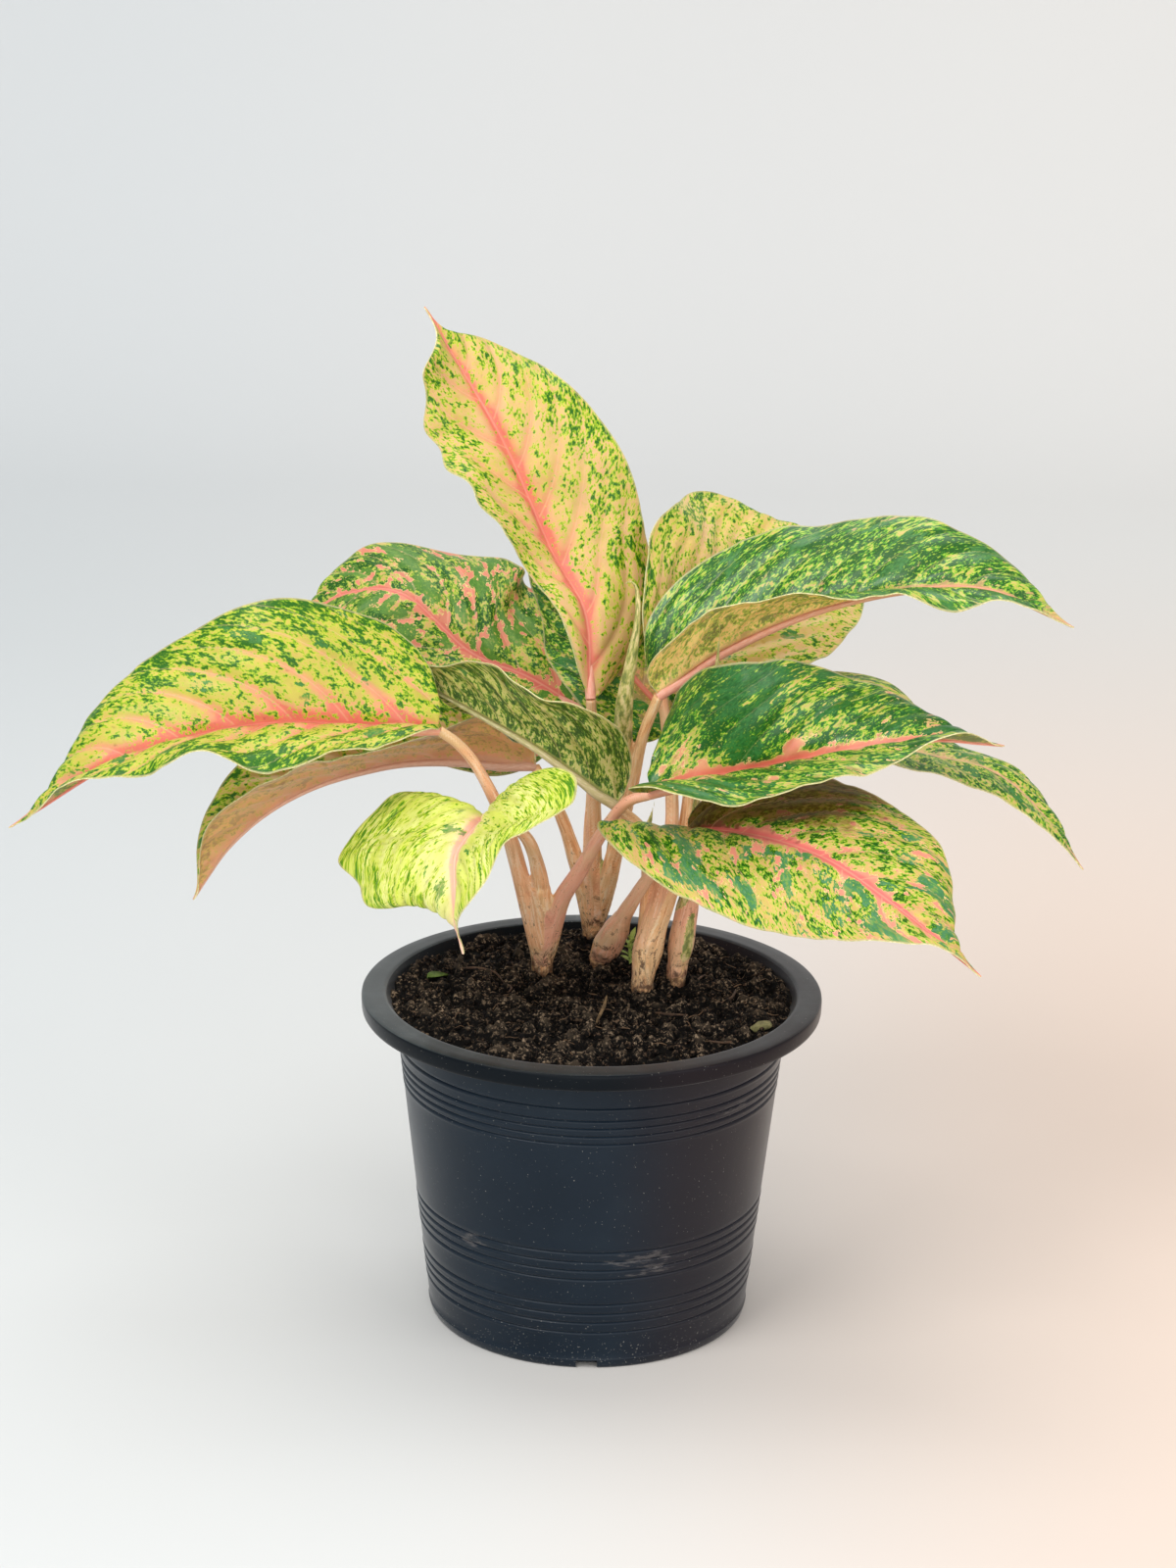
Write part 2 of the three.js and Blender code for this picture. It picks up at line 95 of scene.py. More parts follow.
# Driving dimensions of the soil and what lies on it. Lumps and grain: size across, height and seed.
SOIL_EDGE_RADIUS = 87.2
SOIL_EDGE_HEIGHT = 144.4
SOIL_MIDDLE_HEIGHT = 144.9
SOIL_HOLE_DEPTH = 20
SOIL_RINGS = 118
SOIL_SIDES = 380
SOIL_LUMPS = ((19, 2.6, 1), (8, 2.0, 2))
SOIL_GRAIN = ((6.5, 4.2, 3), (3.1, 3.0, 4), (1.6, 1.6, 5))
SOIL_COLLAR = 1.2
SOIL_EDGE_DROP = 1.2
SKIRT_DEPTH = 6
LITTER_RADIUS = 86.6
CRUMBS = 2600
CRUMB_LEAST = 0.35
CRUMB_SPREAD = 1.6
FIBRES = 260
FIBRE_LENGTHS = (3, 12)
FIBRE_RADII = (0.14, 0.34)
FIBRE_REACH = 85.5
# The relief given to crumbs and fibres, at which the soil material paints neither shade nor highlight
LITTER_RELIEF = 0.8

# Driving dimensions of the blades, ribs and stalks
BLADE_THICKNESS = 0.45
BLADE_END_HALF_WIDTH = 1
BLADE_ROWS = 150
BLADE_COLUMNS = 26
BLADE_OPEN_WIDTH = 7
TIP_HALF_WIDTH = 0.3
LOBE_SHARE = 0.35
VEINS = 8
VEIN_OFFSET = 0.45
QUILT_HEIGHT = 1.7
EDGE_LIFT = 1.3
RIB_GROOVE = 0.5
RIB_RADII = (2.3, 1.7, 1.25, 0.9, 0.6, 0.3)
RIB_END = 0.995
RIB_ROWS = 90
RIB_SIDES = 16
CAD_CLEARANCE = 0.35
STALK_DROP = 1.1
STALK_START = 150
STALK_RADII = (4.6, 4.3, 3.7, 3.0, 2.5, 2.3)
SHEATH_RADII = (0.9, 0.8, 0.7, 0.3)
CANE_SHARES = (0.65, 0.65, 0.7, 0.95, 0.85, 0.6)
SKIN_VOXEL = 0.7


def linear(value):
    return value / 12.92 if value <= 0.04045 else ((value + 0.055) / 1.055) ** 2.4


def paint(hex_colour):
    """An sRGB colour such as "#d9b79c" as linear RGBA."""
    parts = [int(hex_colour[i:i + 2], 16) / 255 for i in (1, 3, 5)]
    return (*[linear(part) for part in parts], 1.0)


# Materials

def operator(operation, swapped=False):
    """A method that adds a math node. It is swapped where a plain number stands on the left of the sign."""
    return lambda value, other=0.0: value.math(operation, other, swapped)


class Value:
    """A number, place or colour that varies over a surface. Its operators and methods add shader nodes."""

    __add__ = __radd__ = operator("ADD")
    __sub__ = operator("SUBTRACT")
    __rsub__ = operator("SUBTRACT", swapped=True)
    __mul__ = __rmul__ = operator("MULTIPLY")
    __truediv__ = operator("DIVIDE")
    __gt__ = operator("GREATER_THAN")
    __lt__ = operator("LESS_THAN")
    __abs__ = operator("ABSOLUTE")

    def __init__(self, shader, socket):
        self.shader = shader
        self.socket = socket

    def math(self, operation, other=0.0, swapped=False):
        inputs = (other, self) if swapped else (self, other)
        return self.shader.value("ShaderNodeMath", enumerate(inputs), operation=operation)

    def swing(self, gain):
        """How far a noise is from its middle, times a gain."""
        return gain * (self - 0.5)

    def between(self, start, end, kind="LINEAR"):
        """0 at start and before it, 1 at end and past it. The end may be the smaller of the two."""
        return self.shader.value("ShaderNodeMapRange", {0: self, 1: start, 2: end}, interpolation_type=kind)

    def smooth(self, start, end):
        return self.between(start, end, "SMOOTHSTEP")

    def scaled(self, *factors):
        return self.shader.value("ShaderNodeVectorMath", {0: self, 1: factors}, operation="MULTIPLY")

    def parts(self):
        node = self.shader.node("ShaderNodeSeparateXYZ", {0: self})
        return [Value(self.shader, socket) for socket in node.outputs]

    def noise(self, scale, detail=3.0, roughness=0.6):
        inputs = {"Vector": self, "Scale": scale, "Detail": detail, "Roughness": roughness}
        return self.shader.value("ShaderNodeTexNoise", inputs)

    def ramp(self, *stops):
        node = self.shader.node("ShaderNodeValToRGB", {0: self})
        elements = node.color_ramp.elements
        while len(elements) < len(stops):
            elements.new(0.5)
        for element, (place, colour) in zip(elements, stops):
            element.position = place
            element.color = paint(colour)
        return Value(self.shader, node.outputs[0])


class Shader:
    """A material in the making: its nodes, and its colour so far, on which coats are laid."""

    def __init__(self, name):
        self.material = bpy.data.materials.new(name)
        self.material.use_nodes = True
        self.tree = self.material.node_tree
        self.surface = self.tree.nodes["Principled BSDF"]
        self.colour = None

    def node(self, kind, inputs=(), **settings):
        made = self.tree.nodes.new(kind)
        for key, value in settings.items():
            setattr(made, key, value)
        self.feed(made, inputs)
        return made

    def value(self, kind, inputs=(), output=0, **settings):
        return Value(self, self.node(kind, inputs, **settings).outputs[output])

    def feed(self, node, inputs):
        for key, value in dict(inputs).items():
            if isinstance(value, Value):
                self.tree.links.new(value.socket, node.inputs[key])
            else:
                node.inputs[key].default_value = paint(value) if isinstance(value, str) else value

    def attribute(self, name):
        return self.value("ShaderNodeAttribute", output="Vector", attribute_name=name)

    def place(self):
        return self.value("ShaderNodeTexCoord", output="Object")

    def mix(self, share, colour, other, blend="MIX"):
        inputs = {0: share, 6: colour, 7: other}
        return self.value("ShaderNodeMix", inputs, 2, data_type="RGBA", blend_type=blend)

    def coat(self, share, colour, blend="MIX"):
        self.colour = self.mix(share, self.colour, colour, blend)

    def bump(self, height, strength, distance_mm):
        inputs = {"Height": height, "Strength": strength, "Distance": distance_mm * MM}
        self.feed(self.surface, {"Normal": self.value("ShaderNodeBump", inputs)})

    def finish(self, roughness, specular, more=()):
        self.feed(self.surface, {"Base Color": self.colour, "Roughness": roughness})
        self.feed(self.surface, {"Specular IOR Level": specular, **dict(more)})
        return self.material


def blade_material(name, look, underside=False):
    """The mottled skin of a blade.

    Of its attributes, masks holds the green share, the pink share and the vein count, zones the share of
    calm dark green, the distance from the margin and the share along, and grain a place on the skin.
    """
    skin = Shader(name)
    grain = skin.attribute("grain")
    green, pink, vein = skin.attribute("masks").parts()
    calm_share, inset, along = skin.attribute("zones").parts()
    from_rib = grain.parts()[1]
    stretched = grain.scaled(1.0, look.stretch, 1.0)
    broad = grain.noise(look.broad, 2.0, 0.5)
    middle = stretched.noise(look.speck * 0.42, 2.0, 0.5)
    fine = stretched.noise(look.speck, 2.0)
    flecks = grain.noise(look.speck * 1.7, 1.0, 0.5)

    calm_limit = 0.66 - 0.2 * look.calm
    calm = grain.noise(0.07, 2.0, 0.5) + calm_share + fine.swing(0.25)
    calm = calm.smooth(calm_limit, calm_limit + 0.04)
    specks = green - look.under_fade if underside else green
    specks = specks + broad.swing(look.broad_gain) + middle.swing(look.middle_gain)
    specks = specks + fine.swing(look.fine_gain) + 0.22 * calm

    # The ground under the specks, pink towards the rib and the veins
    tint = grain.noise(0.05)
    blush = pink + broad.swing(0.5)
    skin.colour = skin.mix(tint.between(0.38, 0.62), look.ground, look.ground_2)
    skin.coat(blush.smooth(0.1, 0.6), look.flesh)
    skin.coat(blush.smooth(0.55, 1.0), look.rib)
    skin.coat(look.tan * tint.between(0.5, 0.7), look.tan_colour)
    # On an underside a share of the ground takes the underside colour, which on leaf_upper_right is brightened
    # as painted light shining through the blade
    if underside:
        skin.coat(look.under_ground, look.under_colour)

    # Specks in three greens inside a pale halo, then pale flecks and calm dark green
    skin.coat(0.8 * specks.between(0.38, 0.5), look.halo)
    for limit, colour in ((0.5, look.lime), (0.61, look.green), (0.77, look.dark)):
        skin.coat(specks.smooth(limit, limit + 0.04), colour)
    skin.coat(look.flecks * flecks.smooth(0.6, 0.66), look.lime)
    skin.coat(look.calm_depth * calm, fine.ramp((0.35, look.calm_dark), (0.62, look.calm_light)))

    # Pink patches with a pale rim, and brown stain with painted shade where the calm share is below nothing
    patch = pink + grain.noise(look.patch_scale).swing(look.patch_gain) + fine.swing(0.8)
    skin.coat(look.patch * patch.smooth(0.4, 0.43), look.patch_rim)
    skin.coat(look.patch * patch.smooth(0.46, 0.5), skin.mix(pink.between(0.4, 0.9), look.flesh, look.rib))
    skin.coat(0.8 * (calm_share + middle.swing(1.5)).between(-0.3, -0.7), look.stain)

    # The rib's band and its crease, the thin lines of the veins, and the margin
    band = look.rib_width * (1.35 - 0.9 * along)
    skin.coat(0.9 * (1 - from_rib / band).between(0.0, 0.35), look.rib)
    skin.coat(0.6 * from_rib.between(0.6, 0.25), look.rib_base)
    off_line = abs(vein.math("FRACT") - 0.5)
    skin.coat(look.vein * off_line.smooth(0.03, 0.008), look.vein_colour)
    # The underside colour again, on leaf_upper_right partly painted light shining through the blade
    if underside:
        skin.coat(look.under, look.under_colour)
    skin.coat(look.edge * inset.between(1.0, 0.5), look.edge_colour)

    shade = grain.noise(0.12, 3.0, 0.5)
    skin.coat(0.3, shade.ramp((0.3, "#c4c4c4"), (0.7, "#ffffff")), "MULTIPLY")
    streaks = grain.scaled(1.0, 0.25, 1.0).noise(1.2, 2.0, 0.5)
    skin.bump(0.6 * streaks + 0.5 * fine, 0.3, 0.4)
    soft = {"Subsurface Weight": 0.5 if underside else 0.12, "Subsurface Scale": 1.2 * MM,
            "Subsurface Radius": (1.0, 0.8, 0.3)}
    return skin.finish(look.rough - 0.06 + 0.14 * shade.between(0.3, 0.7), look.shine, soft)


def rib_material(name, look):
    """The skin of a rib, which fades along it: the masks attribute holds the share along."""
    rib = Shader(name)
    along = rib.attribute("masks").parts()[0]
    streak = rib.attribute("grain").scaled(0.2, 1.0, 1.0).noise(1.4)
    rib.colour = rib.mix(along.between(0.0, 0.85), look.rib_base, look.rib)
    rib.coat(0.4 * streak.between(0.45, 0.7), "#f3d9c4")
    rib.bump(streak, 0.2, 0.2)
    return rib.finish(0.42, 0.45)


def margin_material():
    margin = Shader("margin")
    margin.colour = margin.place().noise(900.0, 2.0).ramp((0.35, "#b9b774"), (0.65, "#e3dcaa"))
    return margin.finish(0.5, 0.4)


# Worn places on the front of the pot: x and z of the middle, and how far each reaches, in metres
POT_SCUFFS = ((0.024, 0.05, 0.022, 0.008), (-0.05, 0.053, 0.008, 0.005), (0.06, 0.116, 0.012, 0.004))
DUST_COLOUR = "#a9a69e"


def pot_material():
    """Dark plastic with a black lip, a grey rim top with painted shade in front and a painted highlight on the
    left, a painted warm reflection on the right, scuffs, and dust in the seam under the rim.
    """
    plastic = Shader("pot_plastic")
    place = plastic.place()
    x, y, z = place.parts()
    lip = 0.85 * z.between(0.1385, 0.1395)
    rim = z.between(0.1462, 0.1465)
    plastic.colour = place.noise(60.0, 5.0, 0.65).ramp((0.35, "#0d1215"), (0.5, "#1f2629"), (0.7, "#40474a"))
    # Painted shade darkens the rim's front and a painted highlight lightens its left side
    plastic.coat(0.75 * y.smooth(-0.05, -0.1), "#0b0f12")
    plastic.coat(0.6 * x.smooth(-0.05, -0.1), "#4f5759")
    rim_colour_with_painted_light = plastic.colour
    cloud = place.noise(14.0, 4.0)
    plastic.colour = cloud.ramp((0.3, "#0b1824"), (0.55, "#111e2a"), (0.8, "#192631"))
    plastic.coat(lip, "#04080c")
    plastic.coat(rim, rim_colour_with_painted_light)
    # A painted warm reflection tints the right side of the pot purplish brown
    plastic.coat(0.6 * x.smooth(0.005, 0.045), "#231b1f")

    scuff = place.scaled(1.0, 1.0, 5.0).noise(90.0, 5.0, 0.75)
    for at_x, at_z, reach_x, reach_z in POT_SCUFFS:
        across = (x - at_x) / reach_x
        upward = (z - at_z) / reach_z
        near = (across * across + upward * upward).math("SQRT").between(1.0, 0.4)
        worn = (scuff + 0.16 * near).between(0.64, 0.72)
        plastic.coat(0.4 * worn * (y < 0.0) * near.between(0.0, 0.3125), "#6f6a68")

    spots = place.noise(1500.0, 1.0, 0.4) > 0.7 + 0.07 * z.between(0.0, 0.03)
    plastic.coat(0.5 * spots, DUST_COLOUR)
    seam = z.between(0.1368, 0.1376) * z.between(0.139, 0.1384)
    plastic.coat(0.35 * seam * (place.noise(420.0, 2.0) > 0.56), DUST_COLOUR)
    plastic.bump(place.noise(180.0, 4.0), 0.12, 0.3)
    roughness = 0.28 + 0.14 * cloud.between(0.3, 0.7) + 0.06 * rim
    sheen = {"Sheen Weight": 0.17, "Sheen Roughness": 0.35}
    return plastic.finish(roughness, 0.2 - 0.12 * lip + 0.25 * rim, sheen)


def soil_material(name, dark, light):
    """Flecked peat with painted shade in its hollows and a painted highlight on its crests: the relief
    attribute holds the height over the ground.
    """
    soil = Shader(name)
    place = soil.place()
    relief = soil.attribute("relief").parts()[0]
    fleck = place.noise(600.0, 3.0, 0.75)
    soil.colour = fleck.ramp((0.46, dark), (0.54, "#1e1712"), (0.62, light))
    soil.coat(0.7, place.noise(45.0, 4.0).ramp((0.38, "#5a5450"), (0.62, "#ffffff")), "MULTIPLY")
    # Painted shade in the hollows and a painted highlight on the crests
    soil.coat(relief.smooth(0.8, -0.8), "#050302")
    soil.coat(0.12 * relief.between(1.2, 2.6), light)
    soil.bump(fleck, 0.8, 0.8)
    return soil.finish(0.95, 0.2)


def stalk_material():
    """Stalk skin: the masks attribute holds the height over the soil and the pink share, which is -1 on a
    rolled leaf."""
    skin = Shader("stalk_skin")
    height, pink, _ = skin.attribute("masks").parts()
    grain = skin.attribute("grain")
    streak = grain.scaled(1.0, 0.08, 1.0).noise(0.9, 4.0)
    skin.colour = streak.ramp((0.34, "#cf8c54"), (0.5, "#f8c488"), (0.65, "#ffe8c2"))
    skin.coat(0.75 * pink.between(0.0, 1.0), "#e6a08c")
    off_seam = abs(grain.scaled(1.0, 0.04, 1.0).noise(0.3, 1.0, 0.4) - 0.5)
    skin.coat(0.4 * off_seam.between(0.014, 0.0), "#96684a")
    skin.coat(0.5 * grain.noise(0.06, 2.0).between(0.45, 0.65), "#d8bd8e")
    dirt = grain.scaled(1.0, 0.6, 1.0).noise(0.35, 5.0, 0.75)
    dirt_limit = 0.5 + 0.16 * height.between(0.0, 60.0)
    skin.coat(0.75 * (dirt - dirt_limit).smooth(0.0, 0.06), "#6b4a35")
    skin.coat(0.8 * (grain.noise(1.1, 1.0) > 0.74), "#4a3226")
    dashes = grain.scaled(1.0, 0.35, 1.0).noise(0.5)
    mottle = dashes.ramp((0.4, "#d9c890"), (0.5, "#a8ac58"), (0.6, "#55742a"))
    skin.coat(0.85 * pink.between(-0.3, -0.6), mottle)
    skin.coat(0.85 * (height + dirt.swing(-70.0)).smooth(16.0, 0.0), "#5a4030")
    skin.bump(streak, 0.35, 0.5)
    return skin.finish(0.5, 0.4)


def plain_material(name, scale, *stops, roughness=0.7):
    plain = Shader(name)
    mottle = plain.place().noise(scale, 4.0)
    plain.colour = mottle.ramp(*stops)
    plain.bump(mottle, 0.4, 0.4)
    return plain.finish(roughness, 0.3)


# Mesh helpers

def set_vectors(mesh, attributes):
    for key, values in dict(attributes).items():
        layer = mesh.attributes.new(key, "FLOAT_VECTOR", "POINT")
        layer.data.foreach_set("vector", np.asarray(values, np.float32).ravel())


def link(name, data):
    """A new object in the scene."""
    made = bpy.data.objects.new(name, data)
    bpy.context.scene.collection.objects.link(made)
    return made


def add_piece(name, points, faces, materials, slots=None, attributes=(), sharp=50):
    """A smooth mesh piece out of points in millimetres, with vector attributes."""
    mesh = bpy.data.meshes.new(name)
    mesh.from_pydata((np.asarray(points) * MM).tolist(), [], [list(map(int, face)) for face in faces])
    for material in materials:
        mesh.materials.append(material)
    if slots is not None:
        mesh.polygons.foreach_set("material_index", np.asarray(slots, np.int32))
    set_vectors(mesh, attributes)
    mesh.polygons.foreach_set("use_smooth", np.ones(len(mesh.polygons), bool))
    mesh.update()
    mesh.set_sharp_from_angle(angle=math.radians(sharp))
    return link(name, mesh)


def declare(piece, node, stands_in=True):
    """Puts a piece on the part's one body and, where it stands in for a node, hides that node."""
    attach(piece, "root")
    if stands_in:
        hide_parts(node)


def bake(piece):
    """Turns the piece's modifiers into mesh."""
    graph = bpy.context.evaluated_depsgraph_get()
    mesh = bpy.data.meshes.new_from_object(piece.evaluated_get(graph))
    piece.modifiers.clear()
    piece.data = mesh


class Batch:
    """Points and faces of one piece, gathered form by form."""

    def __init__(self):
        self.rows = []
        self.faces = []
        self.slots = []
        self.count = 0

    def add(self, points, faces, slot=0):
        self.faces += [tuple(self.count + corner for corner in face) for face in faces]
        self.slots += [slot] * len(faces)
        self.rows.append(points)
        self.count += len(points)

    def mesh(self):
        return np.concatenate(self.rows), self.faces


def grid_faces(rows, columns, start=0, around=False, flip=False):
    """Quads over a grid of rows by columns of points, stored row by row."""
    faces = []
    for i in range(rows - 1):
        for j in range(columns if around else columns - 1):
            a = start + i * columns + j
            b = start + i * columns + (j + 1) % columns
            quad = (a, b, b + columns, a + columns)
            faces.append(quad[::-1] if flip else quad)
    return faces


def sheet_faces(rows, columns, flip=False):
    """Upper, lower and rim faces of a thin sheet whose upper grid of points is followed by its lower one."""
    size = rows * columns
    rim = list(range(columns))
    rim += [i * columns + columns - 1 for i in range(1, rows)]
    rim += [size - columns + j for j in range(columns - 2, -1, -1)]
    rim += [i * columns for i in range(rows - 2, 0, -1)]
    edge = [(b, a, a + size, b + size) for a, b in zip(rim, rim[1:] + rim[:1])]
    edge = [face[::-1] for face in edge] if flip else edge
    return grid_faces(rows, columns, flip=flip), grid_faces(rows, columns, size, flip=not flip), edge


def stacked(*fields):
    """Fields over one grid as a list of vectors, one for each point."""
    return np.stack(np.broadcast_arrays(*fields), axis=-1).reshape(-1, len(fields))


def unit(vectors):
    return vectors / np.maximum(np.linalg.norm(vectors, axis=-1, keepdims=True), 1e-9)


def bell(x):
    return np.exp(-x ** 2)


def smooth_between(low, high, x):
    t = np.clip((x - low) / (high - low), 0, 1)
    return t * t * (3 - 2 * t)


def eased(values, s):
    """The value at s, from 0 to 1, of a list of values spaced evenly, eased between neighbours."""
    place = (len(values) - 1) * np.clip(np.asarray(s, float), 0, 1)
    i = np.minimum(place.astype(int), len(values) - 2)
    ease = smooth_between(0, 1, place - i)
    values = np.array(values, float)
    return values[i] * (1 - ease) + values[i + 1] * ease


def turned_axes(turn):
    """The directions ahead, aside and up of something turned about Z, as the rows of a matrix."""
    return np.array([[math.cos(turn), math.sin(turn), 0], [-math.sin(turn), math.cos(turn), 0], [0, 0, 1]])


def circle(sides):
    return np.linspace(0, FULL_TURN, sides, endpoint=False)


def lattice_noise(cell_size, seed, *fields):
    """Smooth noise between 0 and 1 over two or three fields of coordinates."""
    place = np.stack(np.broadcast_arrays(*fields), axis=-1) / cell_size + 1000
    cell = np.floor(place).astype(np.int64)
    part = smooth_between(0, 1, place - cell)
    total = 0
    for corner in range(2 ** len(fields)):
        key = np.full(cell.shape[:-1], seed, np.int64)
        weight = 1.0
        for axis in range(len(fields)):
            step = (corner >> axis) & 1
            key = (key * 73856093) ^ ((cell[..., axis] + step) * 19349663 + 83492791 * (axis + 1))
            weight = weight * (part[..., axis] if step else 1 - part[..., axis])
        key = (key ^ (key >> 13)) * 1274126177
        total = total + weight * ((key ^ (key >> 16)) & 0xFFFF) / 0xFFFF
    return total


def curve_through(points):
    """A Catmull-Rom curve: a function of the share of its length, and its length."""
    control = np.array(points, float)
    ghosts = np.vstack([2 * control[0] - control[1], control, 2 * control[-1] - control[-2]])

    def at(t):
        place = np.clip(np.asarray(t, float), 0, 1) * (len(control) - 1)
        i = np.minimum(place.astype(int), len(control) - 2)
        w = (place - i)[..., None]
        before, here, there, after = (ghosts[i + k] for k in range(4))
        leave = 0.5 * (there - before)
        arrive = 0.5 * (after - here)
        square = -3 * here + 3 * there - 2 * leave - arrive
        cube = 2 * here - 2 * there + leave + arrive
        return here + leave * w + square * w ** 2 + cube * w ** 3

    shares = np.linspace(0, 1, CURVE_SAMPLES)
    steps = np.linalg.norm(np.diff(at(shares), axis=0), axis=1)
    lengths = np.concatenate([[0], np.cumsum(steps)])
    return lambda share: at(np.interp(np.asarray(share) * lengths[-1], lengths, shares)), lengths[-1]


def round_bar(centres, side, up, radii, sides):
    """Points round each centre, and the faces of the closed bar through them."""
    angles = circle(sides)[None, :, None]
    ring = side[:, None] * np.cos(angles) + up[:, None] * np.sin(angles)
    points = (centres[:, None] + radii[:, None, None] * ring).reshape(-1, 3)
    faces = grid_faces(len(centres), sides, around=True, flip=True)
    faces.append(tuple(range(sides)))
    faces.append(tuple(range(len(points) - sides, len(points)))[::-1])
    return points, faces


def tube(route, radii, sides, steps):
    """Points and faces of a round bar along a smooth route, and its centres."""
    at, _ = curve_through(route)
    shares = np.linspace(0, 1, steps + 1)
    centres = at(shares)
    ahead = unit(at(np.minimum(shares + 0.005, 1)) - at(np.maximum(shares - 0.005, 0)))
    side = unit(np.cross(ahead, [0.0, -1.0, 0.15]))
    return *round_bar(centres, side, np.cross(side, ahead), eased(radii, shares), sides), centres


# Blades

def half(width, base, tip, angles, curl=0, lobe=0, wave=(3, 2, 0), ruffle=(9, 0.8), scallops=(0, 0, 0)):
    """One half of a blade. Base and tip say how its outline falls there, and angles how steeply it rises.

    Waves and scallops are a count, a size and a shift, and ruffles a count and a height.
    """
    return SimpleNamespace(width=width, base=base, tip=tip, angles=angles, curl=curl, lobe=lobe, wave=wave,
                           ruffle=ruffle, scallops=scallops)


# What a blade and its stalk look like where their own look says nothing else. A blotch is its place along
# and across, its radius in millimetres, and how much green, pink and calm it adds; calm below nothing paints
# brown stain and shade.
COMMON_LOOK = dict(
    ground="#dcb07c", ground_2="#d0b468", flesh="#e09c74", rib="#e07a68", rib_base="#e89c86", rib_width=1.3,
    tan=0.4, tan_colour="#c29a4c", halo="#c9c350", lime="#b0c22e", green="#76a01a", dark="#2a660c",
    flecks=0.2, calm=0.0, calm_depth=0.7, calm_dark="#2a6424", calm_light="#4c8a44", stain="#5c4218",
    patch=0.0, patch_gain=2.2, patch_rim="#e8cf86", patch_scale=0.16,
    vein=0.3, vein_colour="#e6bd94", vein_gap=0.16, vein_reach=3.6, edge=0.6, edge_colour="#c9b98a",
    broad=0.08, speck=0.6, broad_gain=0.75, middle_gain=1.5, fine_gain=2.0, slant=0.3, stretch=1.0,
    rough=0.4, shine=0.28, under=0.4, under_colour="#a79a5c", under_ground=0.0, under_fade=0.0,
    green_share=0.42, green_margin=0.12, green_rib=0.3,
    pink_width=3.0, pink_halo=0.45, pink_vein=0.4, pink_reach=14.0, pink_share=0.0, stalk_pink=0.2,
    scallop_start=0.3, blotches=(), tip_slope=0.1, tip_reach=5.5, tip_power=2.0,
)
GREEN_LOOK = dict(
    green_share=0.72, green_margin=0.0, green_rib=0.06, calm=0.6, patch=1.0, vein_gap=0.05, lime="#abc03c",
    green="#5a9420", dark="#1f5a10", flecks=0.5, tan=0.2, halo="#bcc454", pink_reach=12.0, broad_gain=0.8,
    ground="#cdb078",
)


def leaf(midrib, up, left, right, kind=COMMON_LOOK, **own_look):
    """A blade: the route of its midrib, the way its face looks, its halves, and its look."""
    look = SimpleNamespace(**{**COMMON_LOOK, **kind, **own_look})
    return SimpleNamespace(midrib=midrib, up=up, halves=(left, right), look=look)


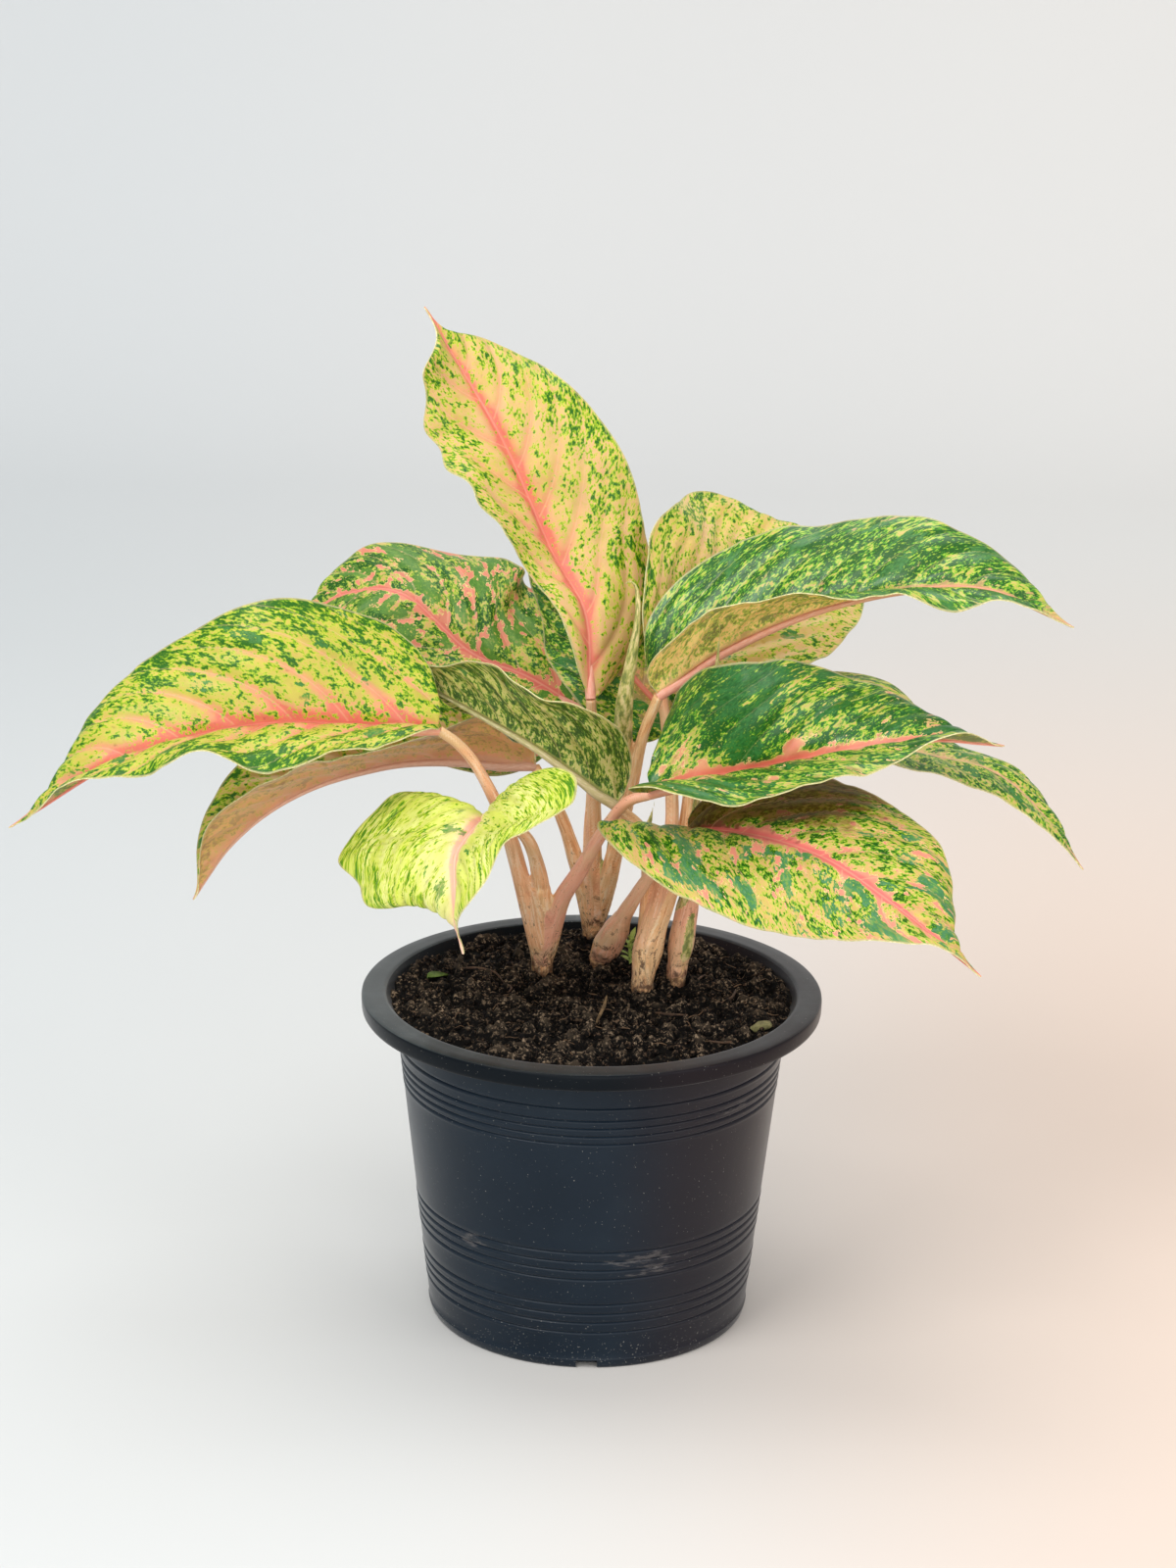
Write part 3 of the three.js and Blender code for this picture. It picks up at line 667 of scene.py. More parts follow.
BLADES = {
    "leaf_top": leaf(
        [(-2, 34, 269), (-5, 48, 303), (-20, 62, 327), (-41, 76, 371), (-62, 86, 405), (-77, 90, 429)],
        (0.15, -0.85, 0.5),
        half(30, 1, 0.5, (10, 45, 15, 55), wave=(2.1, 9, -0.9), ruffle=(6, 2.4), scallops=(8, 0.06, 0.2)),
        half(45, 0.7, 0.85, (-35, 5, 15, -40), curl=-15, wave=(1.9, -4.5, 0.85)),
        stalk_pink=0.5,
        green_share=0.5, pink_width=5.4, pink_vein=0.75, pink_reach=34.0, vein_reach=3.0, vein_gap=0.3,
        tip_slope=0.14, tip_reach=9.8, tip_power=4.0, calm=-0.4,
        blotches=((0.93, 0.5, 10, 0.25, -0.1, 0.12), (0.86, 0.3, 10, 0.16, -0.1, 0),
                  (0.9, -0.6, 9, 0.2, 0, 0), (0.12, 0, 30, -0.05, -0.5, 0), (1.0, 0, 9, -0.3, 0.9, 0))),
    "leaf_left": leaf(
        [(-67, 0, 264), (-103, -6, 267), (-135, -12, 269), (-168, -16, 264), (-205, -20, 252),
         (-247, -22, 224)],
        (0, -0.25, 1),
        half(37, 0.4, 0.9, (30, 5, 20, 35), curl=-5, wave=(3.6, -5.5, -0.15), ruffle=(8, 1.2)),
        half(51, 0.42, 0.95, (50, 70, 40, -10), curl=-25, lobe=6, wave=(4, 1.5, -0.15), ruffle=(8, 0.8)),
        stalk_pink=0.45,
        green_share=0.63, pink_width=7.0, pink_reach=36.0, pink_vein=0.9,
        green_margin=0.16, vein_gap=0.34, ground="#ccb658", ground_2="#bcb84a", tan=0.25,
        blotches=((0.55, -0.45, 10, 0.14, -0.1, 0.14), (0.72, -0.35, 8, 0.15, -0.1, 0.16),
                  (0.4, -0.8, 16, 0.12, -0.1, 0), (0.85, -0.4, 9, 0.25, 0, 0.05),
                  (0.93, 0.4, 9, 0.25, 0, 0))),
    "leaf_back_left": leaf(
        [(-7, 84, 250), (-30, 88, 263), (-57, 94, 273), (-88, 108, 296), (-116, 120, 292), (-139, 126, 275)],
        (-0.1, -0.55, 0.8),
        half(50, 0.3, 0.9, (-30, -25, -10, 0), wave=(4, 3, 0.4)),
        half(42, 0.5, 0.8, (20, 30, -5, 10), curl=-10, wave=(3.1, -4.5, 0.4)),
        GREEN_LOOK, green_share=0.74, flesh="#de8a70", rib="#dc7064", ground="#d49a6c", green="#6a9430",
        pink_width=1.3, pink_reach=50.0, pink_vein=0.6, pink_share=0.06, pink_halo=0.08, patch_gain=3.4,
        vein_reach=2.0, vein_gap=0.0, rib_width=0.8, calm=0.8, calm_dark="#4a8030", calm_light="#6f9a3c"),
    "leaf_back": leaf(
        [(36, 52, 252), (16, 56, 273), (-4, 66, 297), (-22, 78, 320), (-35, 86, 334)],
        (0.1, -0.8, 0.6),
        half(27, 0.4, 0.9, (0, 5, -50, -20)),
        half(34, 0.45, 0.85, (5, 5, 0, 0), curl=-10),
        GREEN_LOOK, green_share=0.8, patch=0.3),
    "leaf_back_right": leaf(
        [(29, 44, 270), (39, 56, 286), (57, 74, 301), (77, 96, 310), (100, 116, 317), (126, 136, 320)],
        (-0.2, -0.7, 0.65),
        half(51, 0.6, 0.8, (75, 50, 5, -40), wave=(3.1, 4.5, 0.4)),
        half(49, 0.55, 0.65, (0, 0, 5, 5), curl=-10, wave=(4, 1.5, -0.05)),
        stalk_pink=0.6,
        green_share=0.46, pink_share=0.06, green_margin=0.16, ground="#e2bc82", ground_2="#dcc06c",
        lime="#bccb44", blotches=((0.35, 0.6, 34, -0.12, 0.12, 0),)),
    "leaf_upper_right": leaf(
        [(27, 20, 275), (55, 16, 297), (94, 8, 317), (134, 0, 328), (166, -6, 329), (199, -12, 315)],
        (0, -0.3, 1),
        half(42, 0.48, 0.88, (60, 40, 35, 0), curl=-15, wave=(2.8, -2.5, 0.95)),
        half(24, 0.35, 0.7, (85, 65, 35, 0, 40), wave=(4.7, 3, 0.3)),
        # Its underside colour is bright peach, partly its own colour and partly painted light shining through
        # the blade
        GREEN_LOOK, green_share=0.86, pink_width=1.6, pink_vein=0.1, under=0.25, under_colour="#ffd48a",
        under_ground=0.9, under_fade=0.34, patch=0.4, calm=0.3, vein_colour="#c6c470", ground="#c8b860",
        halo="#aebc48", lime="#a6c43a", green="#529820", broad_gain=1.2, slant=0.6, rough=0.32, shine=0.45,
        rib="#cf9a6a", flecks=0.75, blotches=((0.98, 0, 10, -0.4, 0.8, 0),)),
    "leaf_mid_right": leaf(
        [(24, -16, 242), (38, -20, 248), (79, -26, 259), (116, -30, 268), (143, -32, 272), (170, -32, 269)],
        (0, -0.2, 1),
        half(45, 0.35, 0.92, (35, 95, 30, -10), curl=-20, wave=(3.1, 2, 0.2)),
        half(38, 0.3, 0.8, (30, 5, 10, 45), lobe=4, wave=(2.2, -2.5, -0.15)),
        GREEN_LOOK, stalk_pink=1.0,
        green_share=0.82, pink_width=2.4, pink_vein=0.2, pink_share=0.03, calm=0.75,
        calm_dark="#12561c", calm_light="#388038", green="#4f9422", dark="#1c5c1c", rough=0.34,
        rib="#e0866e", rib_width=0.8, vein=0.1, slant=0.6, ground="#b8b45a", shine=0.45,
        blotches=((0.3, -0.6, 18, 0.22, -0.4, 0.08), (0.12, -0.3, 10, -0.25, 0.3, -0.2),
                  (0.36, 0.6, 4.5, 0, 0.8, 0), (0.42, -0.16, 4, 0, 0.8, 0), (0.8, -0.4, 24, 0.2, 0, 0.14),
                  (0.6, 0.4, 40, -0.14, 0, -0.2))),
    "leaf_low_right": leaf(
        [(39, 0, 219), (53, -24, 228), (75, -48, 232), (98, -68, 229), (123, -88, 217), (142, -100, 205),
         (156, -106, 194)],
        (0, -0.3, 1),
        half(45, 0.6, 0.7, (55, 15, 10, -25), curl=-15, wave=(3, 1.5, 0.3)),
        half(49, 0.22, 0.8, (25, -10, -20, 45), lobe=10, wave=(1.7, 4, 0.9)),
        GREEN_LOOK, stalk_pink=0.8,
        green_share=0.62, green_margin=-0.06, flesh="#e6927a", ground="#d8b070", pink_width=2.6,
        pink_reach=40.0, pink_share=0.07, pink_halo=0.12, patch_gain=3.0, slant=0.5, stain="#5a3410",
        shine=0.12, calm_dark="#3f8040", calm_light="#5e966c", under_colour="#7a4a22", under=0.6,
        rib="#e4746e",
        # The first two blotches, with calm below nothing, paint brown stain and shade on the far half's base
        blotches=((0.12, -0.5, 18, 0.1, -0.2, -1.6), (0.34, -0.75, 24, 0.1, -0.2, -1.5),
                  (0.1, 0.5, 20, 0, -0.3, 0))),
    "leaf_centre": leaf(
        [(9, 2, 231), (-9, -1, 246), (-26, 2, 257), (-45, 9, 266), (-66, 24, 273), (-88, 38, 280)],
        (0, 0.7, 0.7),
        half(29, 0.43, 0.85, (45, 15, 25, 25), wave=(2.8, -3.5, 0.05)),
        half(20, 0.5, 0.8, (55, 35, 5, 20), wave=(2.9, 3.5, 0.45)),
        GREEN_LOOK, green_share=0.7, pink_vein=0.0, pink_width=0.1, patch=0.0, calm=-0.3, speck=0.8,
        under=0.2, under_colour="#5c6428", rib="#8f9150", rib_base="#b9a878", ground="#c8bc7c",
        ground_2="#c0ba6a", slant=0.6, stretch=0.7, lime="#a3b04a", green="#4f7a26", dark="#284e16",
        halo="#c8c27c"),
    "leaf_far_right": leaf(
        [(51, 40, 231), (74, 44, 243), (108, 38, 255), (135, 28, 249), (170, 14, 245), (192, 4, 229),
         (210, -4, 206)],
        (0, -0.2, 1),
        half(42, 0.4, 0.87, (45, 20, -15, -15), curl=-25, wave=(2.2, -3.5, 0.2)),
        half(31, 0.5, 0.77, (0, 15, 5, 25), curl=10, wave=(5, 0.5, 0.2)),
        GREEN_LOOK, stalk_pink=0.8,
        green_share=0.68, pink_vein=0.1, pink_width=1.5, rib="#d9b183", under_colour="#d8a884",
        patch=0.3, calm=0.3),
    "leaf_small_front": leaf(
        [(-46, -16, 230), (-52, -36, 229), (-57, -54, 225), (-57, -66, 215), (-56, -72, 202),
         (-53, -74, 189)],
        (0, -0.5, 0.85),
        half(50, 0.5, 1.25, (60, 30, 60, 125), lobe=6, wave=(1.9, -9, -0.8), ruffle=(6, 3.2)),
        half(55, 0.55, 1.15, (20, -10, -30, -95), curl=-27, lobe=7, wave=(2, 2.5, 0), ruffle=(8, 1.4),
             scallops=(3.4, 0.07, 0.2)),
        stalk_pink=0.3,
        green_share=0.49, green_rib=0.5, slant=0.7, stretch=0.6, speck=0.85, ground="#e4e68c",
        ground_2="#d0d85e", flesh="#f2dca0", rib="#f0b49c", rib_base="#f3d6bc", rib_width=0.9,
        broad_gain=0.6, lime="#c0d23c", green="#8cb01c", dark="#4c8610", halo="#d8de60", tan=0.0,
        pink_vein=0.0, pink_share=0.1, vein=0.2, vein_gap=0.1, scallop_start=-0.1,
        tip_slope=0.04, tip_reach=7.6, tip_power=3.0, blotches=((0.95, 0, 9, -0.5, 1.0, 0),)),
    "leaf_low_left": leaf(
        [(-27, 62, 230), (-72, 52, 235), (-106, 40, 232), (-135, 26, 223), (-158, 14, 206), (-173, 4, 184)],
        (0, -0.2, 1),
        half(40, 0.55, 0.83, (80, 40, 50, 100), wave=(1.9, 3.5, 0.8)),
        half(30, 0.5, 0.8, (60, 60, 40, 20)),
        green_share=0.55, under_colour="#dca27c", under=0.6, rib="#d6a58c", rib_base="#d6a58c"),
}


def outline(s, base, tip):
    """The share of its full width that a half has at s, 1 where it is widest."""
    widest = base / (base + tip)
    return s ** base * (1 - s) ** tip / (widest ** base * (1 - widest) ** tip)


def half_points(shape, s, reach, length, look):
    """How far a half lies across, up and back from the midrib, at s along and reach out, and its width."""
    full = BLADE_END_HALF_WIDTH + shape.width * outline(s, shape.base, shape.tip)
    opening = np.minimum(1, (full - BLADE_END_HALF_WIDTH) / BLADE_OPEN_WIDTH)
    to_tip = (1 - s) * length
    pointed = TIP_HALF_WIDTH + look.tip_slope * to_tip + (to_tip / look.tip_reach) ** look.tip_power
    full = (full ** -4 + pointed ** -4) ** -0.25
    scallops, depth, shift = shape.scallops
    scalloped = smooth_between(look.scallop_start, look.scallop_start + 0.3, s)
    full = full * (1 + depth * np.sin(FULL_TURN * (scallops * s + shift)) * scalloped)
    start = np.radians(opening * eased(shape.angles, s))
    bend = math.radians(shape.curl or 0.01)
    across = full / bend * (np.sin(start + bend * reach) - np.sin(start))
    rise = full / bend * (np.cos(start) - np.cos(start + bend * reach))
    count, height, phase = shape.wave
    ripple = height * reach ** 2 * np.sin(FULL_TURN * (count * s + phase)) * outline(s, 1, 1)
    ruffles, ruffle_height = shape.ruffle
    sway = lattice_noise(1, 11, 2 * ruffles * s, shape.width) - 0.5
    ripple = ripple + 2 * ruffle_height * reach ** 3 * sway * outline(s, 0.5, 0.5)
    lobe_reach = (reach * np.maximum(0, 1 - s / LOBE_SHARE)) ** 1.5
    back = shape.lobe * lobe_reach * full / (BLADE_END_HALF_WIDTH + shape.width)
    return across, rise + ripple, back, full


def blade_frame(shape, s):
    """Points along the midrib with the directions along it, to its side and up from it, and its length."""
    at, length = curve_through(shape.midrib)
    along = unit(at(np.minimum(s + 0.01, 1)) - at(np.maximum(s - 0.01, 0)))
    side = unit(np.cross(along, unit(np.array(shape.up, float))))
    return at(s), along, side, np.cross(side, along), length


def stalk_end(shape):
    """The end of a stalk: just short of the blade's base, and a little under it."""
    base, second = np.array(shape.midrib[:2], float)
    along = unit(second - base)
    side = unit(np.cross(along, shape.up))
    return base - 2 * CAD_CLEARANCE * along - STALK_DROP * np.cross(side, along)


def blade_grid(shape, index):
    """The places of a blade's skin, and the fields that its shape and its markings share."""
    look = shape.look
    even = np.linspace(0, 1, BLADE_ROWS + 1)
    rows = 0.5 * even + 0.25 * (1 - np.cos(math.pi * even))
    columns = np.linspace(-1, 1, 2 * BLADE_COLUMNS + 1)
    s = rows[:, None]
    t = (np.sign(columns) * np.abs(columns) ** 1.15)[None, :]
    reach = np.abs(t)
    is_right = t > 0
    point, along, side, normal, length = blade_frame(shape, rows)
    sides = [half_points(half_shape, s, reach, length, look) for half_shape in shape.halves]
    across, rise, back, full = (np.where(is_right, right, left) for left, right in zip(*sides))
    middle = (point[:, None] + side[:, None] * (np.sign(t) * across)[..., None]
              + normal[:, None] * rise[..., None] - along[:, None] * back[..., None])
    distance = reach * full
    run = s * length
    vein_run = 0.75 * distance + 0.95 * distance ** 2 / np.maximum(full, 8)
    spacing = length / VEINS
    vein = (run - vein_run) / spacing + np.where(is_right, VEIN_OFFSET, 0.0)
    return SimpleNamespace(look=look, index=index, s=s, t=t, reach=reach, is_right=is_right, length=length,
                           middle=middle, full=full, distance=distance, run=run, vein_run=vein_run,
                           spacing=spacing, vein=vein)


def blade_skin(g):
    """Points of the upper and the lower skin: the blade's middle, quilted between the veins."""
    up = unit(np.cross(np.gradient(g.middle, axis=1), np.gradient(g.middle, axis=0)))
    off_vein = np.abs((g.vein % 1) - 0.5) * 2
    inner = smooth_between(0, 6, g.distance) * (1 - smooth_between(0.75, 1, g.reach))
    quilt = QUILT_HEIGHT * (1 - off_vein ** 3) * inner * smooth_between(0, 12, g.full)
    sway = lattice_noise(1, SEED + g.index, 0.16 * g.run, 3.0 * np.sign(g.t)) - 0.5
    edge_lift = EDGE_LIFT * sway * g.reach ** 4 * smooth_between(3, 18, g.full)
    groove = RIB_GROOVE * bell(g.distance / 1.6) * smooth_between(2, 10, g.full)
    relief = quilt + edge_lift - groove
    lifts = (BLADE_THICKNESS / 2, -BLADE_THICKNESS / 2)
    return [(g.middle + up * (relief + lift)[..., None]).reshape(-1, 3) for lift in lifts]


def blade_markings(g):
    """The masks, zones and grain of a blade's skin."""
    look = g.look
    to_end = 1 - g.s
    pink_width = look.pink_width * to_end ** 0.6 * smooth_between(-0.05, 0.12, g.s) + 0.4
    near_vein = bell((0.5 - np.abs(g.vein % 1 - 0.5)) * g.spacing / look.vein_reach)
    near_vein = near_vein * smooth_between(-0.02, 0.08, g.s)
    halo = look.pink_halo * np.exp(-g.distance / (look.pink_width * 2.2))
    pink = bell(g.distance / pink_width)
    pink = pink + look.pink_vein * near_vein * np.exp(-g.distance / look.pink_reach) * to_end ** 0.3
    pink = pink + halo * to_end ** 0.5 * smooth_between(0, 0.12, g.s) + look.pink_share
    green = look.green_share + look.green_margin * g.reach ** 2
    green = green - look.green_rib * np.exp(-g.distance / (1.6 * look.pink_width + 1.5))
    calm = 0 * green
    for blotch_s, blotch_t, radius, *changes in look.blotches:
        on_row = (g.s - blotch_s) * g.length
        on_side = (g.t - blotch_t) * g.full
        weight = np.exp(-(on_row ** 2 + on_side ** 2) / radius ** 2)
        green, pink, calm = (field + more * weight for field, more in zip((green, pink, calm), changes))
    green = green - look.vein_gap * near_vein * (1 - smooth_between(0.55, 1, g.reach))
    inset = g.full - g.distance + 3 * (1 - smooth_between(1.5, 5, g.full))
    skin_seed = np.where(g.is_right, 40.0, 0.0) + 100 * g.index
    return (stacked(green, pink, g.vein + 0.5), stacked(calm, inset, g.s),
            stacked(g.run - look.slant * g.vein_run, g.distance, skin_seed))


def blade_rib(shape, g):
    """Points and faces of the rib under a blade, let in towards the tip, with its masks and grain."""
    s = np.linspace(0, RIB_END, RIB_ROWS)
    point, _, side, up, _ = blade_frame(shape, s)
    radius = eased(RIB_RADII, s)
    let_in = smooth_between(0, 0.1, s)
    drop = radius * (0.5 + 0.5 * let_in) + (RIB_GROOVE + 0.2) * let_in * smooth_between(1, 0.9, s)
    centres = point - up * drop[:, None]
    centres += np.exp(-s / 0.03)[:, None] * (stalk_end(shape) - centres[0])
    points, faces = round_bar(centres, side, up, radius, RIB_SIDES)
    angle = circle(RIB_SIDES)
    grain = stacked(s[:, None] * g.length, radius[:, None] * angle, 100 * g.index)
    return points, faces, stacked(s[:, None], 0 * angle, 0), grain


def make_blade(name, shape, index):
    g = blade_grid(shape, index)
    upper, lower = blade_skin(g)
    masks, zones, grain = blade_markings(g)
    rib, rib_faces, rib_masks, rib_grain = blade_rib(shape, g)
    rib_faces = [tuple(2 * len(upper) + corner for corner in face) for face in rib_faces]
    regions = [*sheet_faces(*g.full.shape), rib_faces]
    materials = [blade_material(name + "_top", g.look),
                 blade_material(name + "_under", g.look, underside=True),
                 margin, rib_material(name + "_rib", g.look)]
    attributes = {"masks": np.concatenate([masks, masks, rib_masks]),
                  "zones": np.concatenate([zones, zones, 0 * rib_masks]),
                  "grain": np.concatenate([grain, grain, rib_grain])}
    slots = np.repeat(np.arange(len(regions)), [len(region) for region in regions])
    piece = add_piece(name.replace("leaf", "blade"), np.concatenate([upper, lower, rib]), sum(regions, []),
                      materials, slots, attributes)
    declare(piece, name)


# Pot

def pot_profile():
    """The pot's whole section, with the ring grooves in its wall."""
    foot_radius, foot_height = FOOT_SECTION[-1]
    heights = set(np.linspace(foot_height, BODY_TOP_HEIGHT, WALL_STEPS)[1:-1])
    for groove in GROOVE_HEIGHTS:
        heights.update(groove + GROOVE_WIDTH * step for step in GROOVE_STEPS)
    z = np.array(sorted(heights))
    slope = (BODY_TOP_RADIUS - foot_radius) / (BODY_TOP_HEIGHT - foot_height)
    r = foot_radius + slope * (z - foot_height)
    for groove in GROOVE_HEIGHTS:
        r -= GROOVE_DEPTH * bell((z - groove) / (0.3 * GROOVE_WIDTH))
        r += GROOVE_LIP * bell((z - groove + GROOVE_WIDTH) / (0.5 * GROOVE_WIDTH))
    return np.array([*FOOT_SECTION, *zip(r, z), *RIM_SECTION])


def turned(profile, sides):
    """A closed solid from a section that starts and ends on the axis, a little out of round."""
    angles = circle(sides)
    r, z = (values[:, None] for values in profile[1:-1].T)
    radius = r * (1 + ROUNDNESS_ERROR * np.sin(3 * angles + 0.7) * smooth_between(120, 140, z))
    height = z + RIM_WARP * np.sin(2 * angles + 1.1) * smooth_between(138, 146, z)
    rings = stacked(radius * np.cos(angles), radius * np.sin(angles), height)
    low, high = len(rings), len(rings) + 1
    last = low - sides
    faces = grid_faces(len(r), sides, around=True)
    for k in range(sides):
        after = (k + 1) % sides
        faces += [(low, after, k), (high, last + k, last + after)]
    return np.concatenate([rings, [(0, 0, profile[0][1]), (0, 0, profile[-1][1])]]), faces


def box_points(low, high):
    x, y, z = zip(low, high)
    return np.array([(x[i], y[j], z[k]) for i in (0, 1) for j in (0, 1) for k in (0, 1)])


BOX_FACES = [(0, 1, 3, 2), (4, 6, 7, 5), (0, 4, 5, 1), (2, 3, 7, 6), (0, 2, 6, 4), (1, 5, 7, 3)]


def make_pot():
    pot = add_piece("pot_turned", *turned(pot_profile(), POT_SIDES), [pot_material()], sharp=40)
    slots = Batch()
    near, far = DRAIN_REACH
    slot = box_points((near, -DRAIN_WIDTH / 2, -1), (far, DRAIN_WIDTH / 2, DRAIN_HEIGHT))
    for i in range(DRAIN_SLOTS):
        slots.add(slot @ turned_axes(FULL_TURN * (i / DRAIN_SLOTS - 0.25)), BOX_FACES)
    cutter = add_piece("drain_cutter", *slots.mesh(), [])
    modifier = pot.modifiers.new("cut", "BOOLEAN")
    modifier.operation = "DIFFERENCE"
    modifier.object = cutter
    modifier.solver = "EXACT"
    bake(pot)
    bpy.data.objects.remove(cutter)
    declare(pot, "pot")

    # A small lug that the mould left under the rim, in front, narrower below
    lug = box_points(*MARK_CORNERS)
    lug[lug[:, 2] == MARK_CORNERS[0][2], 1] *= MARK_TAPER
    lug = lug @ turned_axes(math.radians(MARK_ANGLE))
    declare(add_piece("pot_mould_mark", lug, BOX_FACES, [pot_material()]), "pot", stands_in=False)


# Shoots

# Each shoot: where its cane stands and the cane's radius, the routes of its stalks without their two ends,
# and the route and the radii of its rolled leaf or sheath tip.
SHOOTS = {
    "shoot_left": {
        "at": (-22, 26), "radius": 7,
        "stalks": {
            "leaf_left": [(-24, 24, 160), (-31, 20, 189), (-37, 14, 213), (-44, 9, 232), (-52, 5, 248),
                          (-59, 2, 257)],
            "leaf_small_front": [(-21, 24, 165), (-23, 18, 190), (-28, 6, 212), (-37, -6, 224)],
            "leaf_mid_right": [(-19, 24, 160), (-14, 18, 181), (-6, 11, 197), (3, 1, 217), (13, -8, 234)],
        },
    },
    "shoot_back": {
        "at": (0, 71), "radius": 6.5,
        "stalks": {
            "leaf_top": [(0, 69, 160), (0, 63, 180), (0, 49, 220), (-1, 39, 250)],
            "leaf_low_left": [(-2, 71, 160), (-7, 69, 180), (-15, 67, 205)],
            "leaf_upper_right": [(3, 68, 160), (7, 60, 178), (12, 46, 206), (17, 34, 232), (21, 27, 255)],
            "leaf_back_left": [(-1, 72, 165), (-1, 75, 196), (-1, 81, 225)],
        },
        "spear": [(3, 66, 165), (8, 57, 190), (12, 42, 225), (12, 28, 256), (13, 19, 277), (17, 14, 306),
                  (17, 14, 321), (14, 14, 326), (9, 14, 322)],
        "spear_radii": (2.4, 2.4, 3.0, 4.2, 4.4, 3.9, 2.6, 1.4, 0.4),
    },
    "shoot_front": {
        "at": (4, 34), "radius": 7,
        "stalks": {"leaf_low_right": [(8, 26, 160), (13, 14, 175), (21, 3, 193), (30, 1, 207)]},
    },
    "shoot_middle": {
        "at": (22, 1), "radius": 7,
        "stalks": {
            "leaf_centre": [(23, 3, 160), (24, 11, 178), (24, 16, 196), (21, 14, 215)],
            "leaf_back_right": [(24, 3, 165), (31, 11, 191), (34, 22, 218), (32, 34, 246)],
            "leaf_back": [(25, 3, 165), (35, 15, 193), (41, 31, 222), (41, 47, 245)],
        },
        "spear": [(25, 13, 195), (23, 12, 212), (26, 12, 229)],
        "spear_radii": (2, 1.8, 0.3),
    },
    "shoot_right": {
        "at": (37, 12), "radius": 6,
        "stalks": {"leaf_far_right": [(39, 13, 165), (43, 18, 190), (47, 28, 213)]},
        "spear": [(38, 11, 160), (41, 13, 192), (44, 13, 227), (48, 9, 264), (51, 4, 290), (52, 1, 313)],
        "spear_radii": (2.4, 2, 1.7, 1.7, 0.35),
    },
}
SHOOT_FEET = [(*shoot["at"], CANE_SHARES[0] * shoot["radius"]) for shoot in SHOOTS.values()]
CANE_PINK = 0.15
ROLLED_PINK = -1


def cane_route(shoot):
    """The cane's centreline: up out of the soil, then leaning with the stalks that leave it."""
    x, y = shoot["at"]
    routes = list(shoot["stalks"].values())
    leaning = [np.mean([route[k] for route in routes], axis=0) for k in (0, 1)]
    foot = SOIL_MIDDLE_HEIGHT - SOIL_HOLE_DEPTH + 1
    return [(x, y, foot), (x, y, foot + SOIL_HOLE_DEPTH), (x, y, STALK_START), *leaning]


def sheath_edge(route, rng, index):
    """The route of the sheath's edge, which stands out a little on one side of a stalk's lower part."""
    at, _ = curve_through(route)
    lean = rng.uniform(-1, 1)
    points = []
    for share in np.linspace(0.04, rng.uniform(0.5, 0.72), 9):
        swing = math.radians(-90 + 70 * lean + 25 * math.sin(6 * share + index))
        radius = 0.94 * eased(STALK_RADII, share)
        points.append(at(share) + radius * turned_axes(swing)[0])
    return points


def make_shoot(name, shoot, index):
    """The cane and its stalks, skinned over as one smooth form."""
    rng = np.random.default_rng(SEED + 50 + index)
    bars = Batch()
    lines = []

    def put(route, radii, pink, sides=20, steps=90):
        points, faces, centres = tube(route, radii, sides, steps)
        bars.add(points, faces)
        lines.append(np.column_stack([centres, np.full(len(centres), pink)]))

    put(cane_route(shoot), [share * shoot["radius"] for share in CANE_SHARES], CANE_PINK, 28, 60)
    for leaf_name, route in shoot["stalks"].items():
        shape = BLADES[leaf_name]
        full_route = [(*shoot["at"], STALK_START), *route, tuple(stalk_end(shape))]
        put(full_route, STALK_RADII, shape.look.stalk_pink)
        put(sheath_edge(full_route, rng, index), SHEATH_RADII, shape.look.stalk_pink, 8, 40)
    if "spear" in shoot:
        put(shoot["spear"], shoot["spear_radii"], ROLLED_PINK)

    piece = add_piece(name + "_stalks", *bars.mesh(), [stalk_material()], sharp=180)
    remesh = piece.modifiers.new("skin", "REMESH")
    remesh.mode = "VOXEL"
    remesh.voxel_size = SKIN_VOXEL * MM
    remesh.use_smooth_shade = True
    smooth = piece.modifiers.new("smooth", "SMOOTH")
    smooth.factor = 0.5
    smooth.iterations = 3
    bake(piece)
    mesh = piece.data
    place = np.empty(3 * len(mesh.vertices), np.float32)
    mesh.vertices.foreach_get("co", place)
    place = place.reshape(-1, 3) / MM
    line = np.concatenate(lines)
    tree = KDTree(len(line))
    for k, row in enumerate(line):
        tree.insert(Vector(row[:3]), k)
    tree.balance()
    nearest = line[[tree.find(Vector(point))[1] for point in place]]
    offset = place - nearest[:, :3]
    around = np.arctan2(offset[:, 1], offset[:, 0])
    set_vectors(mesh, {"masks": stacked(place[:, 2] - SOIL_EDGE_HEIGHT, nearest[:, 3], 0),
                       "grain": stacked(3.2 * around, place[:, 2], 60.0 * index)})
    declare(piece, name)


# Soil

def soil_height(x, y):
    """The height of the loose soil at a point, without its finest grain."""
    share = np.hypot(x, y) / SOIL_EDGE_RADIUS
    height = SOIL_MIDDLE_HEIGHT + (SOIL_EDGE_HEIGHT - SOIL_MIDDLE_HEIGHT) * share
    for across, lift, seed in SOIL_LUMPS:
        height = height + lift * (lattice_noise(across, seed, x, y) - 0.5)
    for foot_x, foot_y, radius in SHOOT_FEET:
        gap = np.hypot(x - foot_x, y - foot_y)
        height = height + SOIL_COLLAR * bell((gap - radius - 2) / 3)
    return height - SOIL_EDGE_DROP * smooth_between(0.93, 1, share)


def on_soil(x, y, lift=0.0):
    return (x, y, float(soil_height(x, y)) + lift)


def litter(name, points, faces, materials, **more):
    """A piece that lies on the soil."""
    declare(add_piece(name, points, faces, materials, sharp=180, **more), "soil", stands_in=False)


